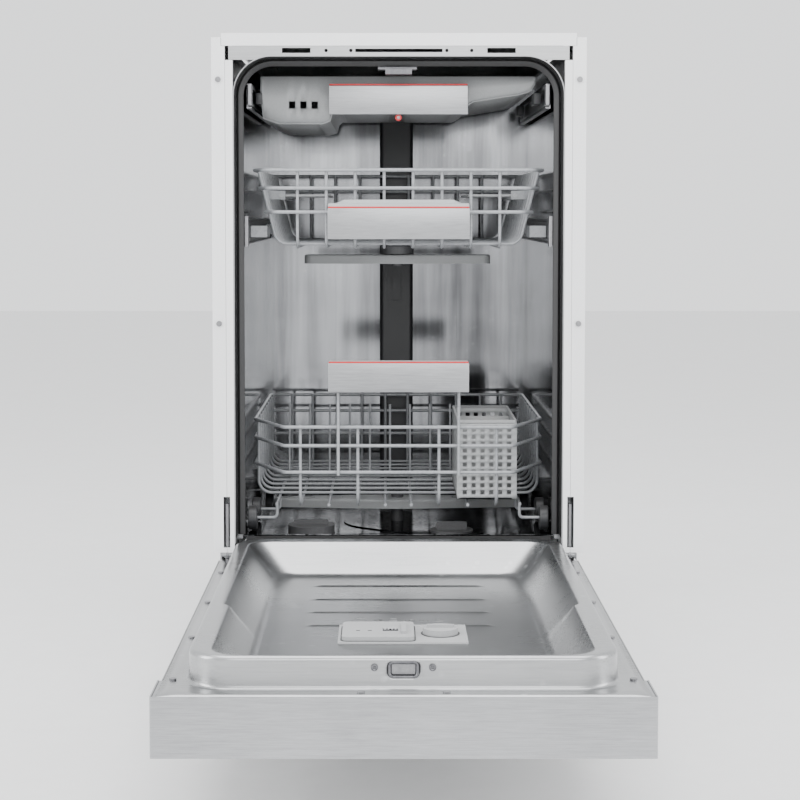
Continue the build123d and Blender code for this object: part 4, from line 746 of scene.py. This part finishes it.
cage_low, cage_high = edges("cutlery_basket")
cx0, cy0, cz0 = cage_low
cx1, cy1, cz1 = cage_high
cage_panels = [panel("x", cy0, (cx0, cx1), (cz0, cz1 - 4), (6, 10)),
               panel("x", cy1, (cx0, cx1), (cz0, cz1 - 4), (6, 10), facing=-1),
               panel("y", cx0, (cy0, cy1), (cz0, cz1 - 4), (15, 10), facing=-1),
               panel("y", cx1, (cy0, cy1), (cz0, cz1 - 4), (15, 10))]
floor_u, floor_cu = hole_lines(cx0, cx1, 6, 7.0, 4.0)
floor_v, floor_cv = hole_lines(cy0, cy1, 14, 7.0, 4.0)
floor_flat, floor_quads = perforated(floor_u, floor_v, lambda u, v: in_cuts(u, floor_cu) & in_cuts(v, floor_cv))
cage_floor = (np.stack([floor_flat[:, 0], floor_flat[:, 1], np.full(len(floor_flat), cz0)], 1),
              floor_quads[:, ::-1].tolist())
add_piece("cutlery_cage", joined([*cage_panels, cage_floor]), grey_plastic, "cutlery_cage",
          ["cutlery_basket"], closed=False, thickness=1.8)
CAGE_RIM = [(-2.0, 0.0), (0.0, -3.5), (0.6, -3.5), (0.6, 0.6), (0.0, 1.0), (-2.0, 1.0)]
cage_rim = frame_ring(((cx0 + cx1) / 2, (cy0 + cy1) / 2, cz1 - 1.2), (cx1 - cx0) / 2 - 0.6,
                      (cy1 - cy0) / 2 - 0.6, 3.0, CAGE_RIM, "z")
cage_walls = [rounded_box((cx0 + 2, y - 0.9, cz0 + 2), (cx1 - 2, y + 0.9, cz1 - 8), 0.7, 2)
              for y in (cy0 + (cy1 - cy0) / 3, cy0 + (cy1 - cy0) * 2 / 3)]
add_piece("cutlery_cage_rim", joined([cage_rim, *cage_walls]), pale_plastic, "cutlery_cage")


# Cutlery drawer

tray_low, tray_high = edges("cutlery_tray")
TRAY_T = 1.8
SLOT_PITCH = 14.0
SLOT_W = 7.0
WINDOWS = np.array([(-136.0, -128.0), (-122.0, -114.0), (-108.0, -100.0)])
tray_y0, tray_y1 = tray_low[1], tray_high[1]
tray_top = tray_high[2]
tray_floor = tray_low[2]
SECTION_X = np.array([-170.0, -169.4, -167.0, -150.0, -96.0, -86.0, -83.0, -78.0, 78.0, 84.0, 92.0, 150.0, 164.0,
                      168.6, 170.0])
SECTION_Z = np.array([57.0, 30.0, 6.0, 0.6, 0.0, 3.0, 14.0, 18.5, 18.5, 21.0, 27.0, 36.0, 40.0, 48.0, 57.0]) + 1.0


def tray_shape():
    """The drawer's sheet: the height follows a section across the drawer, and slots run across the floors."""
    slots = np.arange(tray_y0 + 16, tray_y1 - 20, SLOT_PITCH)
    y = np.unique(np.concatenate([[tray_y0 + 2, tray_y1 - 2], slots, slots + SLOT_W]))
    x = np.unique(np.concatenate([SECTION_X, np.arange(-160, 161, 10.0)]))
    z = tray_floor + np.interp(x, SECTION_X, SECTION_Z)
    grid_x, grid_y = np.meshgrid(x, y)
    points = np.stack([grid_x, grid_y, np.broadcast_to(z, grid_x.shape)], -1).reshape(-1, 3)
    faces = quads(len(y), len(x))
    middle = points[faces].mean(1)
    cuts = np.stack([slots, slots + SLOT_W], 1)
    wings = ((middle[:, 0] > -150) & (middle[:, 0] < -100)) | ((middle[:, 0] > 95) & (middle[:, 0] < 150))
    centre = (abs(middle[:, 0]) < 70) & (abs(middle[:, 0]) > 8)
    slot = in_cuts(middle[:, 1], cuts) & (wings | centre)
    return points, faces[~slot].tolist()


add_piece("drawer_tray_sheet", tray_shape(), grey_plastic, "cutlery_drawer", ["cutlery_tray"],
          closed=False, thickness=TRAY_T)


def tray_end(y, facing):
    """An end wall: columns of points from the tray's section up to its rim, with three small square windows."""
    x = np.unique(np.concatenate([SECTION_X, WINDOWS.ravel(), np.arange(-160, 161, 20.0)]))
    foot = tray_floor + np.interp(x, SECTION_X, SECTION_Z)
    part = np.array([0, 0.30, 0.46, 1.0])[:, None]
    z = np.minimum(foot, tray_top - 0.5) * (1 - part) + tray_top * part
    points = np.stack(np.broadcast_arrays(x, np.full(1, y)[:, None], z), -1).reshape(-1, 3)
    faces = quads(4, len(x))
    middle = points[faces].mean(1)
    row = np.repeat(np.arange(3), len(x) - 1)
    faces = faces[~(in_cuts(middle[:, 0], WINDOWS) & (row == 1))]
    return points, (faces if facing > 0 else faces[:, ::-1]).tolist()


add_piece("drawer_tray_ends", joined([tray_end(tray_y0 + 0.2, 1), tray_end(tray_y1 - 0.2, -1)]), grey_plastic,
          "cutlery_drawer", closed=False, thickness=TRAY_T)
runners = [rounded_box((x0, y, 736.0), (x1, y + 50, 750.0), 1.0, 2)
           for y in (90.0, tray_y1 - 80) for x0, x1 in ((-177.2, -168.5), (168.5, 177.2))]
add_piece("drawer_runners", joined(runners), dark_plastic, "cutlery_drawer")
drawer_grip = edges("drawer_handle")
ring_centre = ((drawer_grip[0][0] + drawer_grip[1][0]) / 2, drawer_grip[0][1] + 6.0, drawer_grip[0][2] - 3.4)
add_piece("drawer_ring", turned([(1.9, -1.5), (2.3, -1.9), (3.6, -1.9), (4.1, -1.4), (4.1, 1.5), (3.6, 1.9),
                                 (2.3, 1.9), (1.9, 1.5), (1.9, -1.5)], ring_centre, "y", 28), red_accent,
          "cutlery_drawer")
add_piece("drawer_ring_core", turned([(0.0, -1.2), (1.9, -1.2), (1.9, 1.2), (0.0, 1.2)], ring_centre, "y", 24),
          pale_plastic, "cutlery_drawer")


# Camera, light and floor

CAMERA_AT = (-0.0166, -2.2122, 0.6028)
CAMERA_DIP = 3.5
LENS = 82.9
SENSOR = 36.0
SHIFT = (0.0188, -0.0949)
camera_data = bpy.data.cameras.new("camera")
camera_data.lens = LENS
camera_data.sensor_width = SENSOR
camera_data.shift_x, camera_data.shift_y = SHIFT
camera = bpy.data.objects.new("camera", camera_data)
camera.location = (CAMERA_AT[0], CAMERA_AT[1] + FRONT * MM, CAMERA_AT[2])
camera.rotation_euler = (math.radians(90 - CAMERA_DIP), 0, 0)
bpy.context.scene.collection.objects.link(camera)
bpy.context.scene.camera = camera


def add_light(name, place, aim, size, energy):
    """A soft rectangular light that faces a point."""
    data = bpy.data.lights.new(name, "AREA")
    data.shape = "RECTANGLE"
    data.size, data.size_y = size
    data.energy = energy
    light = bpy.data.objects.new(name, data)
    light.location = place
    away = np.array(place, float) - np.array(aim, float)
    level = math.hypot(away[0], away[1])
    light.rotation_euler = Euler((math.atan2(level, away[2]), 0, math.atan2(away[1], away[0]) + math.pi / 2))
    bpy.context.scene.collection.objects.link(light)


# Name, place and aim in metres, size in metres and power in watts
LIGHTS = [("top_softbox", (0.0, -0.5, 2.6), (0.0, 0.1, 0.4), (2.2, 2.2), 62),
          ("left_softbox", (-2.3, -1.1, 1.2), (0.0, 0.0, 0.45), (1.0, 2.0), 40),
          ("right_softbox", (2.3, -0.9, 1.1), (0.0, 0.0, 0.45), (1.0, 2.0), 30),
          ("front_softbox", (0.3, -3.2, 1.5), (0.0, 0.2, 0.5), (1.6, 1.2), 26)]
for light_row in LIGHTS:
    add_light(*light_row)

SKY_COLOUR = (0.95, 0.96, 0.97, 1)
SKY_STRENGTH = 1.7
world = bpy.data.worlds.new("studio")
world.use_nodes = True
world.node_tree.nodes["Background"].inputs["Color"].default_value = SKY_COLOUR
world.node_tree.nodes["Background"].inputs["Strength"].default_value = SKY_STRENGTH
bpy.context.scene.world = world

floor_mesh = bpy.data.meshes.new("studio_floor")
FLOOR_REACH = 9
floor_mesh.from_pydata([(x * FLOOR_REACH, y * FLOOR_REACH, 0) for x, y in ((-1, -1), (1, -1), (1, 1), (-1, 1))], [],
                       [(0, 1, 2, 3)])
floor_material = finish_of("studio_floor", (0.80, 0.80, 0.80), (0.84, 0.84, 0.84), (0.60, 0.75), scale=30,
                           bump=0.02)
floor_mesh.materials.append(floor_material)
studio_floor = bpy.data.objects.new("studio_floor", floor_mesh)
bpy.context.scene.collection.objects.link(studio_floor)
